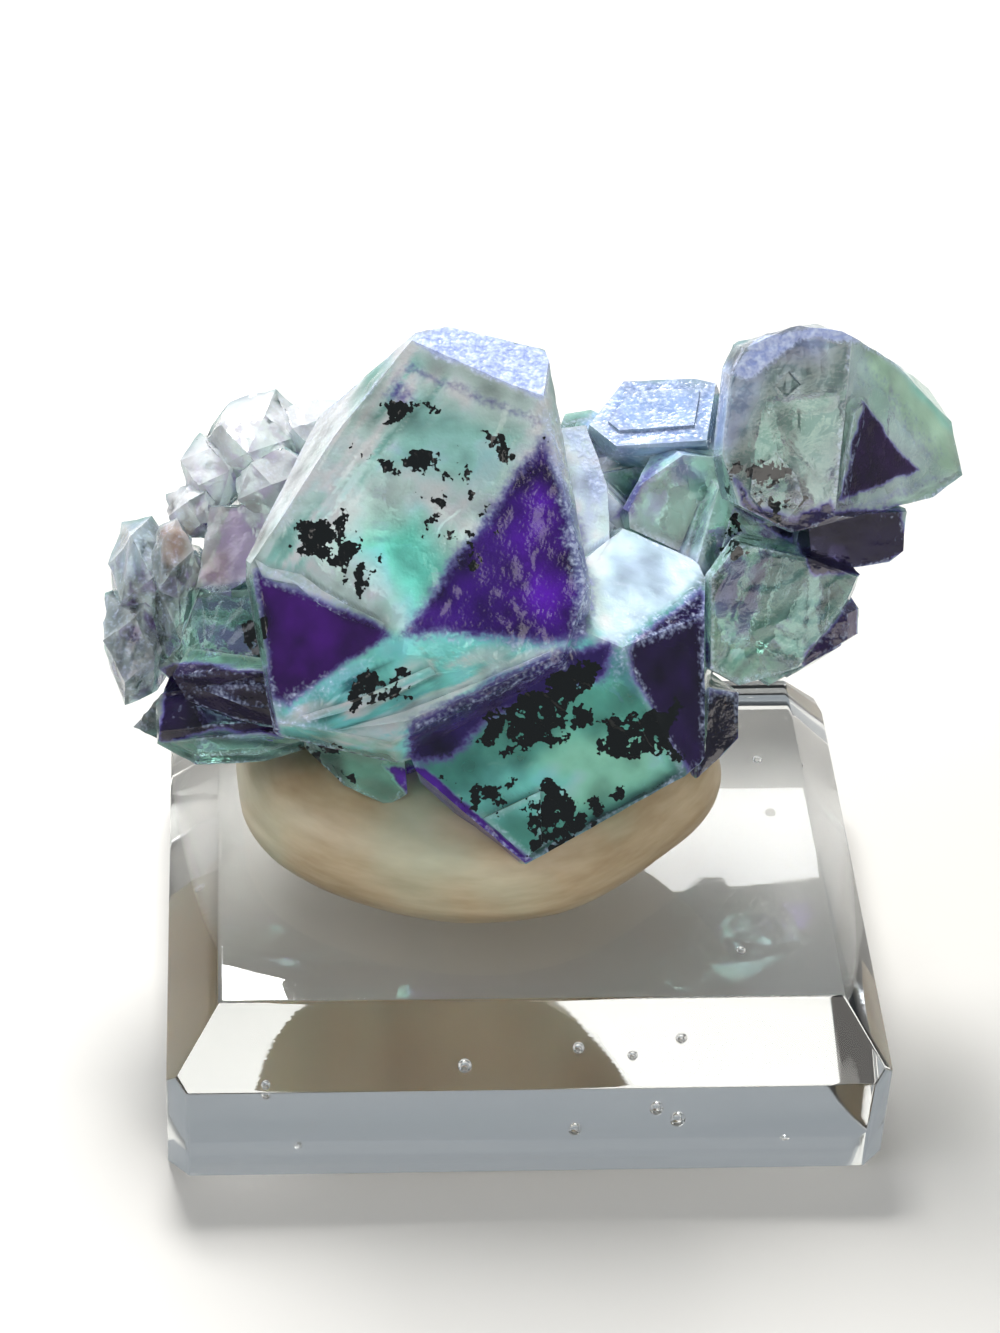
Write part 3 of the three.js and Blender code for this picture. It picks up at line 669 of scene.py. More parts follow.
@dataclass(frozen=True)
class FluoriteFinish:
    """Fluorite as it grew: glassy inside, satin on its faces and frosted along its edges.

    It gives the eye a cool aqua glow, deep purple corner zones and sharp black specks. Part of the glow is
    painted light brightened into the body's colour, which also holds painted shade in the creases, painted
    highlights along the edges and a painted sparkle on the frosted grains.

    Attributes:
        aqua: the body's colour where no zone sets it.
        bluish: the body's paler drifts.
        greyish: the body's darker drifts.
        crease: the dark in the corners where crystals meet.
        sector: the purple of the sectors on the sides and the back.
        zoning_edge: the paler violet where a purple zone fades out.
        rim: the lavender blue of the frosted edges.
        painted_sparkle: the pale grains of the frosting.
        speck: the black inclusions.
        ior: the refractive index of fluorite.
        absorption: the colour that a long path through the crystal leaves.
        density: how strongly it absorbs, per metre.
        grain: the size of the frosting's grains, in millimetres.
        flake: the size of the noise that the flakes are cut from, in millimetres.
    """

    aqua: str = "#93C9B8"
    bluish: str = "#C8D8EC"
    greyish: str = "#6C9499"
    crease: str = "#0E1B1C"
    sector: str = "#2D0A5C"
    zoning_edge: str = "#6A5FA8"
    rim: str = "#8C9CD4"
    # glitter: the colour of the painted sparkle on the frosting's grains, as if they caught the light.
    painted_sparkle: str = "#D3DFF8"
    speck: str = "#070C0C"
    ior: float = 1.434
    absorption: str = "#8FE0D2"
    density: float = 18.0
    grain: float = 0.42
    flake: float = 1.7

    def material(self) -> bpy.types.Material:
        """Builds the crystals' material from the layers that their mesh carries.

        Returns:
            The material.
        """
        material, tree = new_material("fluorite_with_painted_light")
        place = add_node(tree, "ShaderNodeTexCoord").outputs["Object"]
        layers = {
            layer: add_node(tree, "ShaderNodeAttribute", {"attribute_name": layer.value}) for layer in Layer}
        grains = add_node(
            tree, "ShaderNodeTexNoise", Vector=place, Scale=1 / (self.grain * MM), Detail=1.5,
            Roughness=0.75).outputs[0]
        frosting = self._frosting(tree, layers[Layer.FROST].outputs["Fac"], grains)
        specks = self._specks(tree, place, layers[Layer.SPECKS].outputs["Fac"])
        zoned = self._zoned(tree, grains, layers)
        # The frosted rim: its lavender blue, with a painted sparkle on the grains that _lifted picks out.
        rim = add_node(
            tree, "ShaderNodeMix", {"data_type": "RGBA"}, i0=self._lifted(tree, grains), i6=linear(self.rim),
            i7=linear(self.painted_sparkle))
        frosted = add_node(
            tree, "ShaderNodeMix", {"data_type": "RGBA"}, i0=frosting, i6=zoned, i7=rim.outputs[2])
        colour = add_node(
            tree, "ShaderNodeMix", {"data_type": "RGBA"}, i0=specks, i6=frosted.outputs[2],
            i7=linear(self.speck))
        roughness = add_node(tree, "ShaderNodeMapRange", Value=frosting, To_Min=0.1, To_Max=0.4)
        closed = add_node(tree, "ShaderNodeMath", {"operation": "MAXIMUM"}, i0=specks, i1=frosting)
        opened = add_node(tree, "ShaderNodeMath", {"operation": "SUBTRACT"}, i0=1.0, i1=closed.outputs[0])
        through = add_node(
            tree, "ShaderNodeMath", {"operation": "MULTIPLY"}, i0=opened.outputs[0],
            i1=layers[Layer.CLARITY].outputs["Fac"])
        shader = add_node(
            tree, "ShaderNodeBsdfPrincipled", Base_Color=colour.outputs[2], Roughness=roughness.outputs[0],
            IOR=self.ior, Transmission_Weight=through.outputs[0], Normal=self._relief(tree, frosting, grains),
            Coat_Weight=0.25, Coat_Roughness=0.05)
        depths = add_node(
            tree, "ShaderNodeVolumeAbsorption", Color=linear(self.absorption), Density=self.density)
        add_node(
            tree, "ShaderNodeOutputMaterial", Surface=shader.outputs[0], Volume=depths.outputs[0])
        return material

    @staticmethod
    def _lifted(tree: bpy.types.NodeTree, grains: bpy.types.NodeSocket) -> bpy.types.NodeSocket:
        """Picks out the grains that get the painted sparkle, as if they caught the light.

        Args:
            tree: the material's node tree.
            grains: the socket of the grains' noise.

        Returns:
            The socket of their share.
        """
        return add_node(
            tree, "ShaderNodeMapRange", {"interpolation_type": "SMOOTHSTEP"}, Value=grains, From_Min=0.3,
            From_Max=0.8).outputs[0]

    @staticmethod
    def _frosting(tree: bpy.types.NodeTree, frost: bpy.types.NodeSocket,
                  grains: bpy.types.NodeSocket) -> bpy.types.NodeSocket:
        """Breaks the frosted bands up into grains about half a millimetre across.

        Args:
            tree: the material's node tree.
            frost: the socket of the bands.
            grains: the socket of the grains' noise.

        Returns:
            The socket of the frosting's share.
        """
        ragged = add_node(tree, "ShaderNodeMath", {"operation": "MULTIPLY_ADD"}, i0=grains, i1=0.9, i2=frost)
        return add_node(
            tree, "ShaderNodeMapRange", {"interpolation_type": "SMOOTHSTEP"}, Value=ragged.outputs[0],
            From_Min=0.7, From_Max=1.3, To_Max=0.85).outputs[0]

    def _specks(self, tree: bpy.types.NodeTree, place: bpy.types.NodeSocket,
                share: bpy.types.NodeSocket) -> bpy.types.NodeSocket:
        """Cuts ragged flakes from 0.2 to 2 mm out of a noise, more of them where the layer is strong.

        Args:
            tree: the material's node tree.
            place: the socket of object coordinates.
            share: the socket of the layer.

        Returns:
            The socket of the flakes.
        """
        flakes = add_node(
            tree, "ShaderNodeTexNoise", Vector=place, Scale=1 / (self.flake * MM), Detail=3.5, Roughness=0.68)
        height = add_node(
            tree, "ShaderNodeMath", {"operation": "MULTIPLY_ADD"}, i0=share, i1=0.295, i2=flakes.outputs[0])
        return add_node(
            tree, "ShaderNodeMapRange", Value=height.outputs[0], From_Min=0.735, From_Max=0.755).outputs[0]

    def _zoned(self, tree: bpy.types.NodeTree, grains: bpy.types.NodeSocket,
               layers: dict[Layer, bpy.types.Node]) -> bpy.types.NodeSocket:
        """The body colour with the purple zones laid over it, their borders feathered by the grains.

        Args:
            tree: the material's node tree.
            grains: the socket of the grains' noise.
            layers: the nodes that read the mesh's layers.

        Returns:
            The socket of the colour.
        """
        feathered = add_node(
            tree, "ShaderNodeMath", {"operation": "MULTIPLY_ADD"}, i0=grains, i1=0.5,
            i2=layers[Layer.PURPLE].outputs["Fac"])
        zone = add_node(
            tree, "ShaderNodeMapRange", {"interpolation_type": "SMOOTHSTEP"}, Value=feathered.outputs[0],
            From_Min=0.35, From_Max=0.85)
        deep = add_node(
            tree, "ShaderNodeMapRange", {"interpolation_type": "SMOOTHSTEP"}, Value=feathered.outputs[0],
            From_Min=0.6, From_Max=1.02)
        purple = add_node(
            tree, "ShaderNodeMix", {"data_type": "RGBA"}, i0=deep.outputs[0], i6=linear(self.zoning_edge),
            i7=layers[Layer.ZONING].outputs["Color"])
        return add_node(
            tree, "ShaderNodeMix", {"data_type": "RGBA"}, i0=zone.outputs[0],
            i6=layers[Layer.BODY].outputs["Color"], i7=purple.outputs[2]).outputs[2]

    @staticmethod
    def _relief(tree: bpy.types.NodeTree, frosting: bpy.types.NodeSocket,
                grains: bpy.types.NodeSocket) -> bpy.types.NodeSocket:
        """Raises the grains, faintly on the glassy faces and more where it is frosted.

        Args:
            tree: the material's node tree.
            frosting: the socket of the frosting's share.
            grains: the socket of the grains' noise.

        Returns:
            The socket of the bent normal.
        """
        strength = add_node(tree, "ShaderNodeMapRange", Value=frosting, To_Min=0.22, To_Max=0.7)
        return add_node(
            tree, "ShaderNodeBump", Strength=strength.outputs[0], Distance=0.16 * MM,
            Height=grains).outputs[0]


@dataclass
class CrystalCluster:
    """The intergrown crystals: the solid's own faces, refined, with growth relief and zoning.

    Attributes:
        display: the frame in which the zones are given.
        side_limit: the longest triangle side on the best side, in millimetres.
        back_allowance: how much longer, as a share, a side may be at the back.
        edge_reach: how far frosting spreads from an edge, in millimetres.
        relief: how far growth steps stand up, in millimetres.
        edge_grain: how far the grains along the edges stand up.
        ripple: how far the fine growth ripples stand up.
        chip: how far the chips of the broken masses stand up.
        wander: how far the borders of the zones stray, in millimetres.
        sharp_cosine: an edge whose faces' normals have a smaller cosine between them is sharp.
        clarity: how much of the light that enters goes through where no zone sets it.
        purple_clarity: the same inside the purple zones.
        finish: the fluorite.
    """

    display: DisplayFrame
    side_limit: float = 0.53
    back_allowance: float = 2.2
    edge_reach: float = 1.1
    relief: float = 0.06
    edge_grain: float = 0.045
    ripple: float = 0.05
    chip: float = 0.28
    wander: float = 0.4
    sharp_cosine: float = 0.93
    clarity: float = 0.62
    purple_clarity: float = 0.15
    finish: FluoriteFinish = field(default_factory=FluoriteFinish)

    def build(self) -> bpy.types.Object:
        """Makes the cluster's piece and gives it its place and finish.

        Returns:
            The piece.
        """
        surface = Surface.of_node(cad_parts["fluorite_cluster"])
        surface.split(self.side_limit, self._allowance)
        pairs, cosine, outward = surface.sides()
        places = self.display.places(surface.points)
        broken = self._broken(places)
        bent = cosine < self.sharp_cosine
        ridge = surface.distance_along(pairs, pairs[bent & outward].ravel(), self.edge_reach)
        crease = surface.distance_along(pairs, pairs[bent & ~outward].ravel(), self.edge_reach)
        facing = self.display.directions(surface.corner_normals())
        layers = self._layers(places, facing, ridge, crease, broken)
        self._raise(surface, places, facing, ridge, broken)
        piece = surface.to_mesh("crystals", {layer.value: values for layer, values in layers.items()})
        piece.data.shade_smooth()
        mark_edges(piece.data, pairs[bent], "sharp_edge", "BOOLEAN")
        piece.data.materials.append(self.finish.material())
        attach(piece, "root")
        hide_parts("fluorite_cluster")
        LOG.info("crystals: %d triangles", len(surface.faces))
        return piece

    def _allowance(self, middles: np.ndarray) -> np.ndarray:
        """Lets triangles be larger towards the back, where no zone has a border.

        Args:
            middles: N by 3 places in the object's frame.

        Returns:
            How many times longer a side may be at each.
        """
        depth = self.display.places(middles)[:, 2]
        return 1 + self.back_allowance * smoothstep(0.5, -4.5, depth)

    @staticmethod
    def _broken(places: np.ndarray) -> np.ndarray:
        """How far each place belongs to a broken mass, by its distance in the mass's half sizes."""
        share = np.zeros(len(places))
        for middle, halves in MASSES:
            distance = np.linalg.norm((places - middle) / halves, axis=1)
            share = np.maximum(share, smoothstep(1.2, 1.02, distance))
        return share

    def _raise(self, surface: Surface, places: np.ndarray, facing: np.ndarray, ridge: np.ndarray,
               broken: np.ndarray) -> None:
        """Moves the points along their normals into growth steps, ledges and frosted grains.

        Args:
            surface: the refined surface, which is changed.
            places: the points in the display frame.
            facing: the normals in the display frame.
            ridge: distances from the outer edges.
            broken: how far each point belongs to a broken mass.
        """
        inner = smoothstep(0.0, 0.9, ridge)
        slope = 3.2 * cloudy_noise(places, 5.0, 3, 3) + 0.12 * places[:, 0]
        height = self.relief * (stairs(slope) - slope) * inner
        height += self.edge_grain * cloudy_noise(places, 0.8, 2, 11) * (1 - 0.6 * inner)
        drawn_out = places * (0.55, 0.8, 1.6)
        height += self.ripple * (1 - broken) * cloudy_noise(drawn_out, 1.3, 2, 13)
        chips = 2.6 * cloudy_noise(places * (1.1, 0.7, 1), 3.2, 2, 21)
        height += self.chip * broken * (stairs(chips, 0.3) - chips)
        front = smoothstep(0.8, 0.95, facing[:, 2]) * (places[:, 2] > 4)
        for ledge in LEDGES:
            x, y = ledge.direction
            across = places[:, 1] * x - places[:, 0] * y + 0.6 * cloudy_noise(places, 3.0, 2, 31)
            risers = stairs(across / ledge.period, 0.4) - across / ledge.period
            height += ledge.rise * front * ledge.zone.share(places[:, :2], places) * risers
        surface.points = surface.points + height[:, None] * surface.corner_normals()

    def _layers(self, places: np.ndarray, facing: np.ndarray, ridge: np.ndarray,
                crease: np.ndarray, broken: np.ndarray) -> dict[Layer, np.ndarray]:
        """Works out the colours and shares that the material reads.

        Args:
            places: the points in the display frame.
            facing: the normals in the display frame.
            ridge: distances from the outer edges.
            crease: distances from the inner edges.
            broken: how far each point belongs to a broken mass.

        Returns:
            The values of each layer.
        """
        wander = np.stack([cloudy_noise(places, 1.6, 3, seed) for seed in (41, 43)], axis=1)
        flat = places[:, :2] + self.wander * wander
        front = smoothstep(0.05, 0.3, facing[:, 2])
        drift = cloudy_noise(places, 8.0, 2, 53)
        veil = cloudy_noise(places, 1.9, 3, 79)

        def shares(zone: Zone) -> np.ndarray:
            """How far each point belongs to a zone and faces the best side."""
            return zone.share(flat, places) * front

        clarity = np.full(len(places), self.clarity)
        for zone in BODY_ZONES:
            clarity += (zone.clarity - clarity) * shares(zone)
        for zone in PURPLE_ZONES:
            clarity += (self.purple_clarity - clarity) * shares(zone)
        body = self._body(places, drift, shares)
        # Painted shade: the colour darkens towards the crease colour within 0.6 mm of an inner edge, where
        # crystals meet, except on the broken masses.
        body = mixed(body, rgb(self.finish.crease), 0.5 * (1 - broken) * smoothstep(0.6, 0.1, crease))
        body = self._streaked(body, places, shares)
        body = np.clip(body * (1 + 0.7 * veil[:, None]), 0, 0.94)
        # Painted highlight: within 0.6 mm of an outer edge the colour is lifted towards its square root, a
        # bright line as if the edge caught the light.
        body = mixed(body, np.sqrt(body), 0.85 * smoothstep(0.6, 0.05, ridge))

        # A flat face has one normal, so noise of the normals tints whole faces.
        sectors = lattice_noise(3.2 * facing + places / 16, 1.0, 61) + 0.1 * wander[:, 0]
        purple = smoothstep(0.0, -0.3, facing[:, 2]) * smoothstep(0.12, 0.3, sectors)
        zoning = np.tile(rgb(self.finish.sector), (len(places), 1))
        for zone in PURPLE_ZONES:
            share = shares(zone)
            purple = np.maximum(purple, share)
            zoning = mixed(zoning, rgb(zone.colour), smoothstep(0.05, 0.9, share))
        zoning = np.clip(zoning * (1 + 1.1 * veil[:, None] + 0.7 * drift[:, None]), 0, 1)

        specks = 0.35 * (1 - front) * smoothstep(0.2, 0.6, cloudy_noise(places, 7.0, 2, 67))
        patchy = 0.6 + 0.6 * cloudy_noise(places, 5.0, 2, 71)
        frost = 0.6 * smoothstep(self.edge_reach, 0.1, ridge) * patchy * (1 - 0.6 * broken)
        for zone in SPECK_ZONES:
            specks = np.maximum(specks, shares(zone))
        for zone in FROST_ZONES:
            frost = np.maximum(frost, shares(zone))
        return {
            Layer.BODY: body, Layer.ZONING: zoning, Layer.PURPLE: purple, Layer.FROST: frost,
            Layer.SPECKS: specks, Layer.CLARITY: clarity,
        }

    def _body(self, places: np.ndarray, drift: np.ndarray,
              shares: Callable[[Zone], np.ndarray]) -> np.ndarray:
        """The body's own colour: broad drifts with the zones of the best side over them.

        Args:
            places: the points in the display frame.
            drift: broad noise from -1 to 1.
            shares: gives how far each point belongs to a zone.

        Returns:
            N by 3 linear colours.
        """
        body = np.tile(rgb(self.finish.aqua), (len(places), 1))
        body = mixed(body, rgb(self.finish.bluish), smoothstep(0.05, 0.45, drift))
        body = mixed(body, rgb(self.finish.greyish), smoothstep(-0.1, -0.5, drift))
        for zone in BODY_ZONES:
            body = mixed(body, rgb(zone.colour), shares(zone))
        return body

    @staticmethod
    def _streaked(body: np.ndarray, places: np.ndarray,
                  shares: Callable[[Zone], np.ndarray]) -> np.ndarray:
        """Draws the bright and dark streaks that run along the fine ledges.

        Args:
            body: N by 3 linear colours.
            places: the points in the display frame.
            shares: gives how far each point belongs to a zone.

        Returns:
            The streaked colours.
        """
        for ledge in LEDGES:
            share = shares(ledge.zone)
            lines = streaks(places, ledge.direction, 4.5, 0.8, 83)
            body = mixed(body, rgb(ledge.light), share * smoothstep(0.05, 0.4, lines))
            body = mixed(body, rgb(ledge.dark), share * smoothstep(-0.15, -0.5, lines))
        return body


@dataclass(frozen=True)
class PuttyFinish:
    """Mineral putty, kneaded and thumbed smooth: a cream satin with faint smears.

    Attributes:
        light: the cream of the smooth rim.
        dark: the tan of its folds.
        painted_green_light: painted green light, as if it came through the fluorite, laid over the putty in
            random patches.
    """

    light: str = "#D2C2A2"
    dark: str = "#9E8663"
    painted_green_light: str = "#A9C4B0"

    def material(self) -> bpy.types.Material:
        """Builds the putty's material.

        Returns:
            The material.
        """
        material, tree = new_material("mineral_putty_thumbed")
        place = add_node(tree, "ShaderNodeTexCoord").outputs["Object"]
        stretched = add_node(tree, "ShaderNodeMapping", Vector=place, Scale=(0.5, 0.5, 2.4))
        smears = add_node(
            tree, "ShaderNodeTexNoise", Vector=stretched.outputs[0], Scale=1 / (5 * MM), Detail=4.0,
            Roughness=0.55)
        share = add_node(tree, "ShaderNodeMapRange", Value=smears.outputs[0], From_Min=0.3, From_Max=0.7)
        cream = add_node(
            tree, "ShaderNodeMix", {"data_type": "RGBA"}, i0=share.outputs[0], i6=linear(self.dark),
            i7=linear(self.light))
        # Painted light: random patches of the putty turned cool green, as if lit through the fluorite.
        patches = add_node(
            tree, "ShaderNodeTexNoise", Vector=place, Scale=1 / (11 * MM), Detail=2.0)
        green_light_share = add_node(
            tree, "ShaderNodeMapRange", Value=patches.outputs[0], From_Min=0.45, From_Max=0.75, To_Max=0.55)
        colour = add_node(
            tree, "ShaderNodeMix", {"data_type": "RGBA"}, i0=green_light_share.outputs[0], i6=cream.outputs[2],
            i7=linear(self.painted_green_light))
        fine = add_node(tree, "ShaderNodeTexNoise", Vector=place, Scale=1 / (0.9 * MM), Detail=3.0)
        bump = add_node(tree, "ShaderNodeBump", Strength=0.18, Distance=0.12 * MM, Height=fine.outputs[0])
        roughness = add_node(tree, "ShaderNodeMapRange", Value=smears.outputs[0], To_Min=0.36, To_Max=0.55)
        shader = add_node(
            tree, "ShaderNodeBsdfPrincipled", Base_Color=colour.outputs[2], Roughness=roughness.outputs[0],
            IOR=1.5, Normal=bump.outputs[0], Subsurface_Weight=0.35, Subsurface_Radius=(1.0, 0.6, 0.35),
            Subsurface_Scale=1.5 * MM)
        add_node(tree, "ShaderNodeOutputMaterial", Surface=shader.outputs[0])
        return material


@dataclass
class MineralTack:
    """The wad of putty: a pressed lump whose rim bulges over a narrower foot.

    Attributes:
        centre: its middle over the block, in millimetres.
        half_width: half its width at the rim.
        half_depth: half its depth at the rim.
        foot: the level of its foot, which is wetted onto the block.
        height: its height.
        rows: rings of the grid from foot to top.
        columns: points round each ring.
        finish: the putty.
    """

    centre: tuple[float, float] = (-3.4, 2.8)
    half_width: float = 17.8
    half_depth: float = 14.0
    foot: float = 13.38
    height: float = 8.42
    rows: int = 90
    columns: int = 360
    finish: PuttyFinish = field(default_factory=PuttyFinish)

    def build(self) -> bpy.types.Object:
        """Makes the wad and gives it its place and finish.

        Returns:
            The piece.
        """
        surface = self._wad()
        piece = surface.to_mesh("putty_wad", {})
        piece.data.shade_smooth()
        piece.data.materials.append(self.finish.material())
        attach(piece, "root")
        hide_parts("mineral_tack")
        LOG.info("putty: %d triangles", len(surface.faces))
        return piece

    def _wad(self) -> Surface:
        """A closed grid: rings of points carried from the foot round the rim to the top.

        The radius follows a bulging profile, times an ellipse, times waves round the rim, and
        thumb marks up to 0.3 mm deep press it in.

        Returns:
            The wad's surface.
        """
        profile = np.array([[0, 0], [0.84, 0], [0.93, 0.08], [0.99, 0.26], [1, 0.46], [0.96, 0.66],
                            [0.86, 0.84], [0.66, 0.95], [0.4, 1], [0, 1]])
        length = np.concatenate([[0], np.cumsum(np.linalg.norm(np.diff(profile, axis=0), axis=1))])
        along = np.linspace(0, length[-1], self.rows + 1)[1:-1]
        out = np.interp(along, length, profile[:, 0])
        rise = np.interp(along, length, profile[:, 1])
        for _ in range(6):
            out[1:-1] = (out[:-2] + 2 * out[1:-1] + out[2:]) / 4
            rise[1:-1] = (rise[:-2] + 2 * rise[1:-1] + rise[2:]) / 4
        angle = np.linspace(0, 2 * math.pi, self.columns, endpoint=False)
        uneven = 1 + 0.03 * np.sin(3 * angle + 0.6) + 0.02 * np.sin(5 * angle + 2)
        x = out[:, None] * np.cos(angle) * uneven * self.half_width + self.centre[0]
        y = out[:, None] * np.sin(angle) * uneven * self.half_depth + self.centre[1]
        z = np.repeat(rise[:, None], self.columns, axis=1) * self.height + self.foot
        middle = np.array([[*self.centre, self.foot], [*self.centre, self.foot + self.height]])
        points = np.concatenate([np.stack([x, y, z], axis=2).reshape(-1, 3), middle])
        heart = np.array([*self.centre, self.foot + 0.5 * self.height])
        outward = points - heart
        outward /= np.maximum(np.linalg.norm(outward, axis=1, keepdims=True), 1e-9)
        marks = np.minimum(0.3 * cloudy_noise(points * (1, 1, 1.6), 6.0, 2, 71), 0)
        lifted = smoothstep(0, 1.2, points[:, 2] - self.foot)
        return Surface(points + (marks * lifted)[:, None] * outward, self._closed_grid(len(out)))

    def _closed_grid(self, rings: int) -> np.ndarray:
        """Joins the rings in quads cut in two, and closes both ends with fans.

        Args:
            rings: how many rings the grid has.

        Returns:
            The triangles.
        """
        ring, place = np.meshgrid(np.arange(rings - 1), np.arange(self.columns), indexing="ij")
        a = ring * self.columns + place
        b = ring * self.columns + (place + 1) % self.columns
        c, d = a + self.columns, b + self.columns
        start = np.arange(self.columns)
        following = (start + 1) % self.columns
        low, high = rings * self.columns, rings * self.columns + 1
        top = (rings - 1) * self.columns
        return np.concatenate([
            np.stack([a, b, d], axis=-1).reshape(-1, 3),
            np.stack([a, d, c], axis=-1).reshape(-1, 3),
            np.stack([np.full(self.columns, low), following, start], axis=-1),
            np.stack([np.full(self.columns, high), top + start, top + following], axis=-1),
        ])


@dataclass(frozen=True)
class AcrylicFinish:
    """Cast acrylic, cut and flame polished: water clear, with a few hairline scratches.

    Attributes:
        ior: the refractive index of acrylic.
        absorption: the colour that a long path leaves.
        density: how strongly it absorbs, per metre.
    """

    ior: float = 1.49
    absorption: str = "#E6F2EE"
    density: float = 4.0

    def material(self) -> bpy.types.Material:
        """Builds the block's material.

        Returns:
            The material.
        """
        material, tree = new_material("cast_acrylic_polished")
        place = add_node(tree, "ShaderNodeTexCoord").outputs["Object"]
        wipes = add_node(
            tree, "ShaderNodeTexNoise", Vector=place, Scale=1 / (6 * MM), Detail=3.0, Roughness=0.6)
        roughness = add_node(
            tree, "ShaderNodeMapRange", Value=wipes.outputs[0], From_Min=0.35, From_Max=0.8, To_Min=0.012,
            To_Max=0.06)
        scratched = add_node(
            tree, "ShaderNodeMapping", Vector=place, Rotation=(0, 0, 0.6), Scale=(0.1, 2.5, 1))
        hairs = add_node(
            tree, "ShaderNodeTexNoise", Vector=scratched.outputs[0], Scale=1 / (1.1 * MM), Detail=2.0)
        bump = add_node(tree, "ShaderNodeBump", Strength=0.012, Distance=0.05 * MM, Height=hairs.outputs[0])
        shader = add_node(
            tree, "ShaderNodeBsdfPrincipled", Base_Color=(1, 1, 1, 1), Roughness=roughness.outputs[0],
            IOR=self.ior, Transmission_Weight=1.0, Normal=bump.outputs[0])
        depths = add_node(
            tree, "ShaderNodeVolumeAbsorption", Color=linear(self.absorption), Density=self.density)
        add_node(
            tree, "ShaderNodeOutputMaterial", Surface=shader.outputs[0], Volume=depths.outputs[0])
        return material


@dataclass
class AcrylicBlock:
    """The clear block with bevelled top edges, chamfered corners and a few bubbles in the casting.

    Attributes:
        softness: how far its edges are rounded by polishing, in millimetres.
        bubbles: the middle and the radius of each bubble, in millimetres.
        finish: the acrylic.
    """

    softness: float = 0.2
    bubbles: tuple[tuple[float, float, float, float], ...] = (
        (-4.5, -16.2, 6.2, 0.5), (7.3, -15.8, 6.6, 0.36), (9.1, -16.4, 3.6, 0.5), (3.3, -17.6, 2.6, 0.48),
        (10.6, -17, 3, 0.56), (-18.4, -17.2, 5.6, 0.34), (3.3, -17.4, 8.8, 0.42), (10.5, -17.2, 9.4, 0.4),
        (15.4, -9.5, 8, 0.35), (-14, 6.6, 4.4, 0.3), (19, 12, 6, 0.36),
    )
    finish: AcrylicFinish = field(default_factory=AcrylicFinish)

    def build(self) -> bpy.types.Object:
        """Makes the block and gives it its place and finish.

        Returns:
            The piece.
        """
        surface = Surface.of_node(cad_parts["acrylic_base"])
        pairs, cosine, _ = surface.sides()
        for x, y, z, radius in self.bubbles:
            surface.join(self._bubble(np.array([x, y, z]), radius))
        piece = surface.to_mesh("clear_block", {})
        mark_edges(piece.data, pairs[cosine < 0.98], "bevel_weight_edge", "FLOAT")
        bevel = piece.modifiers.new("polished_edges", "BEVEL")
        bevel.width = self.softness * MM
        bevel.segments = 3
        bevel.limit_method = "WEIGHT"
        piece.data.materials.append(self.finish.material())
        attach(piece, "root")
        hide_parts("acrylic_base")
        LOG.info("block: %d triangles before its edges are rounded", len(surface.faces))
        return piece

    @staticmethod
    def _bubble(middle: np.ndarray, radius: float) -> Surface:
        """A round hollow: an octahedron whose sides are halved three times and pushed out to a ball.

        Args:
            middle: its middle in millimetres.
            radius: its radius in millimetres.

        Returns:
            The hollow's surface, which looks inwards.
        """
        points = np.array([[1, 0, 0], [-1, 0, 0], [0, 1, 0], [0, -1, 0], [0, 0, 1], [0, 0, -1]], float)
        faces = np.array([[2, 0, 4], [1, 2, 4], [3, 1, 4], [0, 3, 4],
                          [0, 2, 5], [2, 1, 5], [1, 3, 5], [3, 0, 5]])
        ball = Surface(points, faces)
        for limit in (1.2, 0.6, 0.35):
            ball.split(limit)
            ball.points /= np.linalg.norm(ball.points, axis=1, keepdims=True)
        ball.points = ball.points * radius + middle
        return ball


@dataclass(frozen=True)
class SoftLight:
    """A square soft light that looks at a place.

    Attributes:
        name: the light's name.
        place: where it hangs, in metres.
        target: what it looks at, in metres.
        size: the length of its side, in metres.
        power: its power in watts.
        colour: its sRGB hex colour.
    """

    name: str
    place: tuple[float, float, float]
    target: tuple[float, float, float]
    size: float
    power: float
    colour: str

    def hang(self) -> None:
        """Makes the light and turns it to its target."""
        data = bpy.data.lights.new(self.name, "AREA")
        data.size = self.size
        data.energy = self.power
        data.color = linear(self.colour)[:3]
        light = bpy.data.objects.new(self.name, data)
        away = np.array(self.place) - np.array(self.target)
        away /= np.linalg.norm(away)
        right = np.cross([0, 0, 1], away)
        right /= np.linalg.norm(right)
        axes = Matrix(np.stack([right, np.cross(away, right), away], axis=1).tolist()).to_4x4()
        light.matrix_world = Matrix.Translation(self.place) @ axes
        bpy.context.scene.collection.objects.link(light)


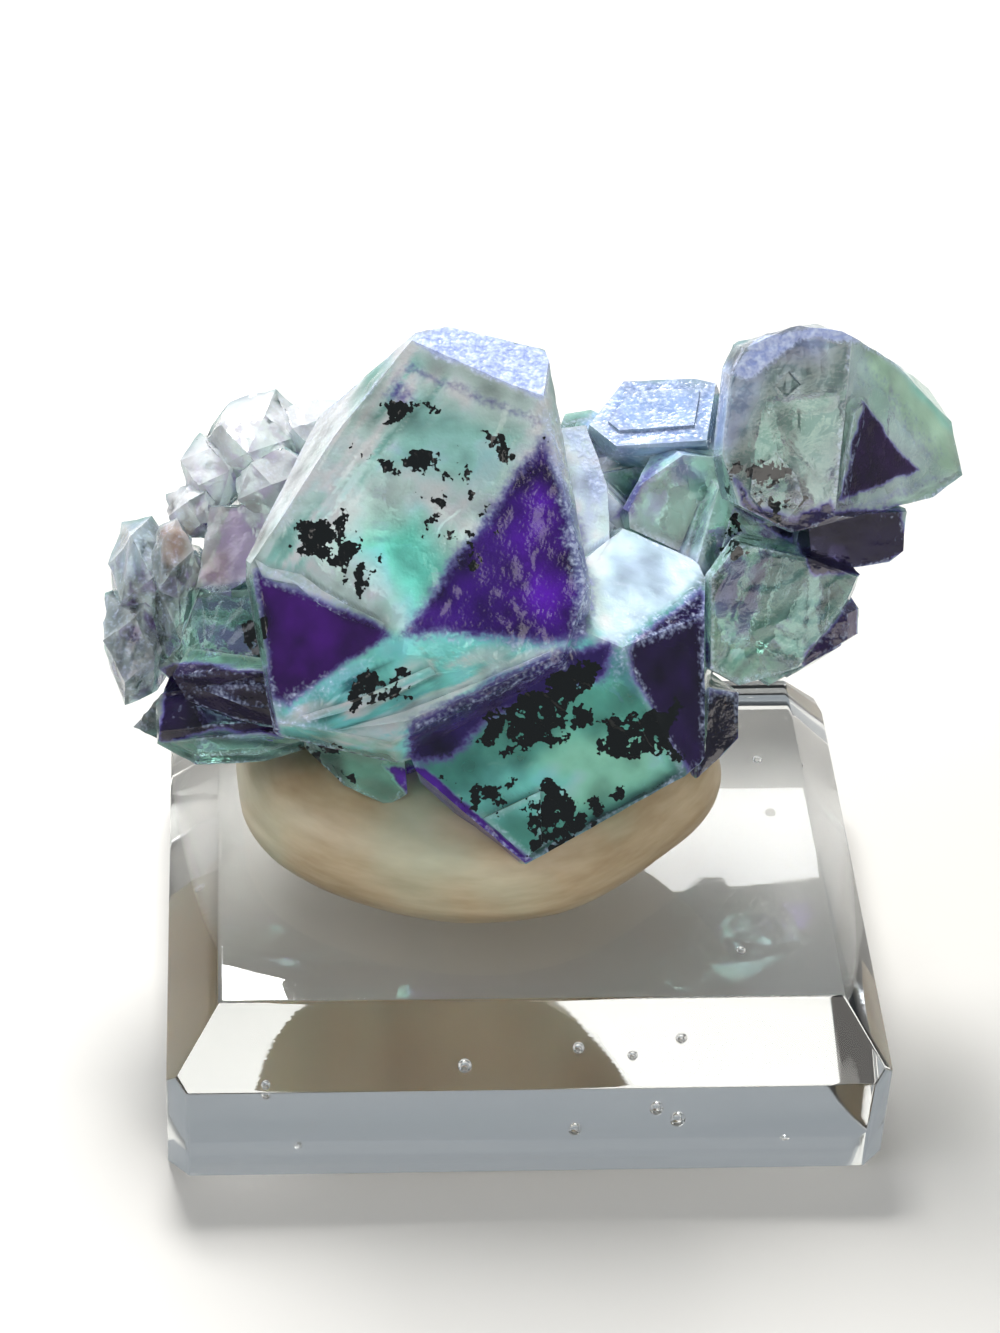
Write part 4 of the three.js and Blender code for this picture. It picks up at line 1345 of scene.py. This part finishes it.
LIGHTS = (
    SoftLight("back_light", (-0.03, 0.17, 0.25), (0, 0.005, 0.035), 0.1, 1.3, "#FFFFFF"),
    SoftLight("side_light", (-0.38, -0.12, 0.35), (0, 0, 0.03), 0.3, 0.7, "#F3F6FF"),
    SoftLight("front_light", (0.22, -0.5, 0.35), (0, 0, 0.02), 0.4, 1.4, "#FFF9F2"),
)


@dataclass
class Studio:
    """A pale floor and soft lights: a strong one above and behind, and weaker ones in front.

    Attributes:
        floor_colour: the floor's sRGB hex colour.
        floor_half: half the floor's width in metres.
        floor_level: how far it lies under the block, which leaves air between them.
        sky_colour: the sRGB hex colour of the light from all round.
        sky_strength: how strong that light is.
    """

    floor_colour: str = "#CFCCC6"
    floor_half: float = 1.2
    floor_level: float = -0.05 * MM
    sky_colour: str = "#DDE6EE"
    sky_strength: float = 0.42

    def build(self) -> None:
        """Makes the floor, the world and the lights."""
        self._floor()
        self._world()
        for light in LIGHTS:
            light.hang()

    def _floor(self) -> None:
        """Makes a plain pale floor."""
        reach, level = self.floor_half, self.floor_level
        mesh = bpy.data.meshes.new("floor")
        mesh.from_pydata(
            [(-reach, -reach, level), (reach, -reach, level), (reach, reach, level),
             (-reach, reach, level)], [], [(0, 1, 2, 3)])
        floor = bpy.data.objects.new("floor", mesh)
        bpy.context.scene.collection.objects.link(floor)
        material, tree = new_material("floor_matt")
        shader = add_node(
            tree, "ShaderNodeBsdfPrincipled", Base_Color=linear(self.floor_colour), Roughness=0.6)
        add_node(tree, "ShaderNodeOutputMaterial", Surface=shader.outputs[0])
        mesh.materials.append(material)

    def _world(self) -> None:
        """Fills the room with an even pale light."""
        world = bpy.data.worlds.new("studio")
        bpy.context.scene.world = world
        world.use_nodes = True
        background = world.node_tree.nodes["Background"]
        background.inputs[0].default_value = linear(self.sky_colour)
        background.inputs[1].default_value = self.sky_strength


def main() -> None:
    """Builds the specimen, its studio and its camera."""
    logging.basicConfig(level=logging.INFO, format="%(name)s %(message)s")
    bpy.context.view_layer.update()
    display = DisplayFrame()
    display.camera()
    bpy.context.scene.view_settings.view_transform = "Standard"
    AcrylicBlock().build()
    MineralTack().build()
    CrystalCluster(display).build()
    Studio().build()


if __name__ == "__main__":
    main()
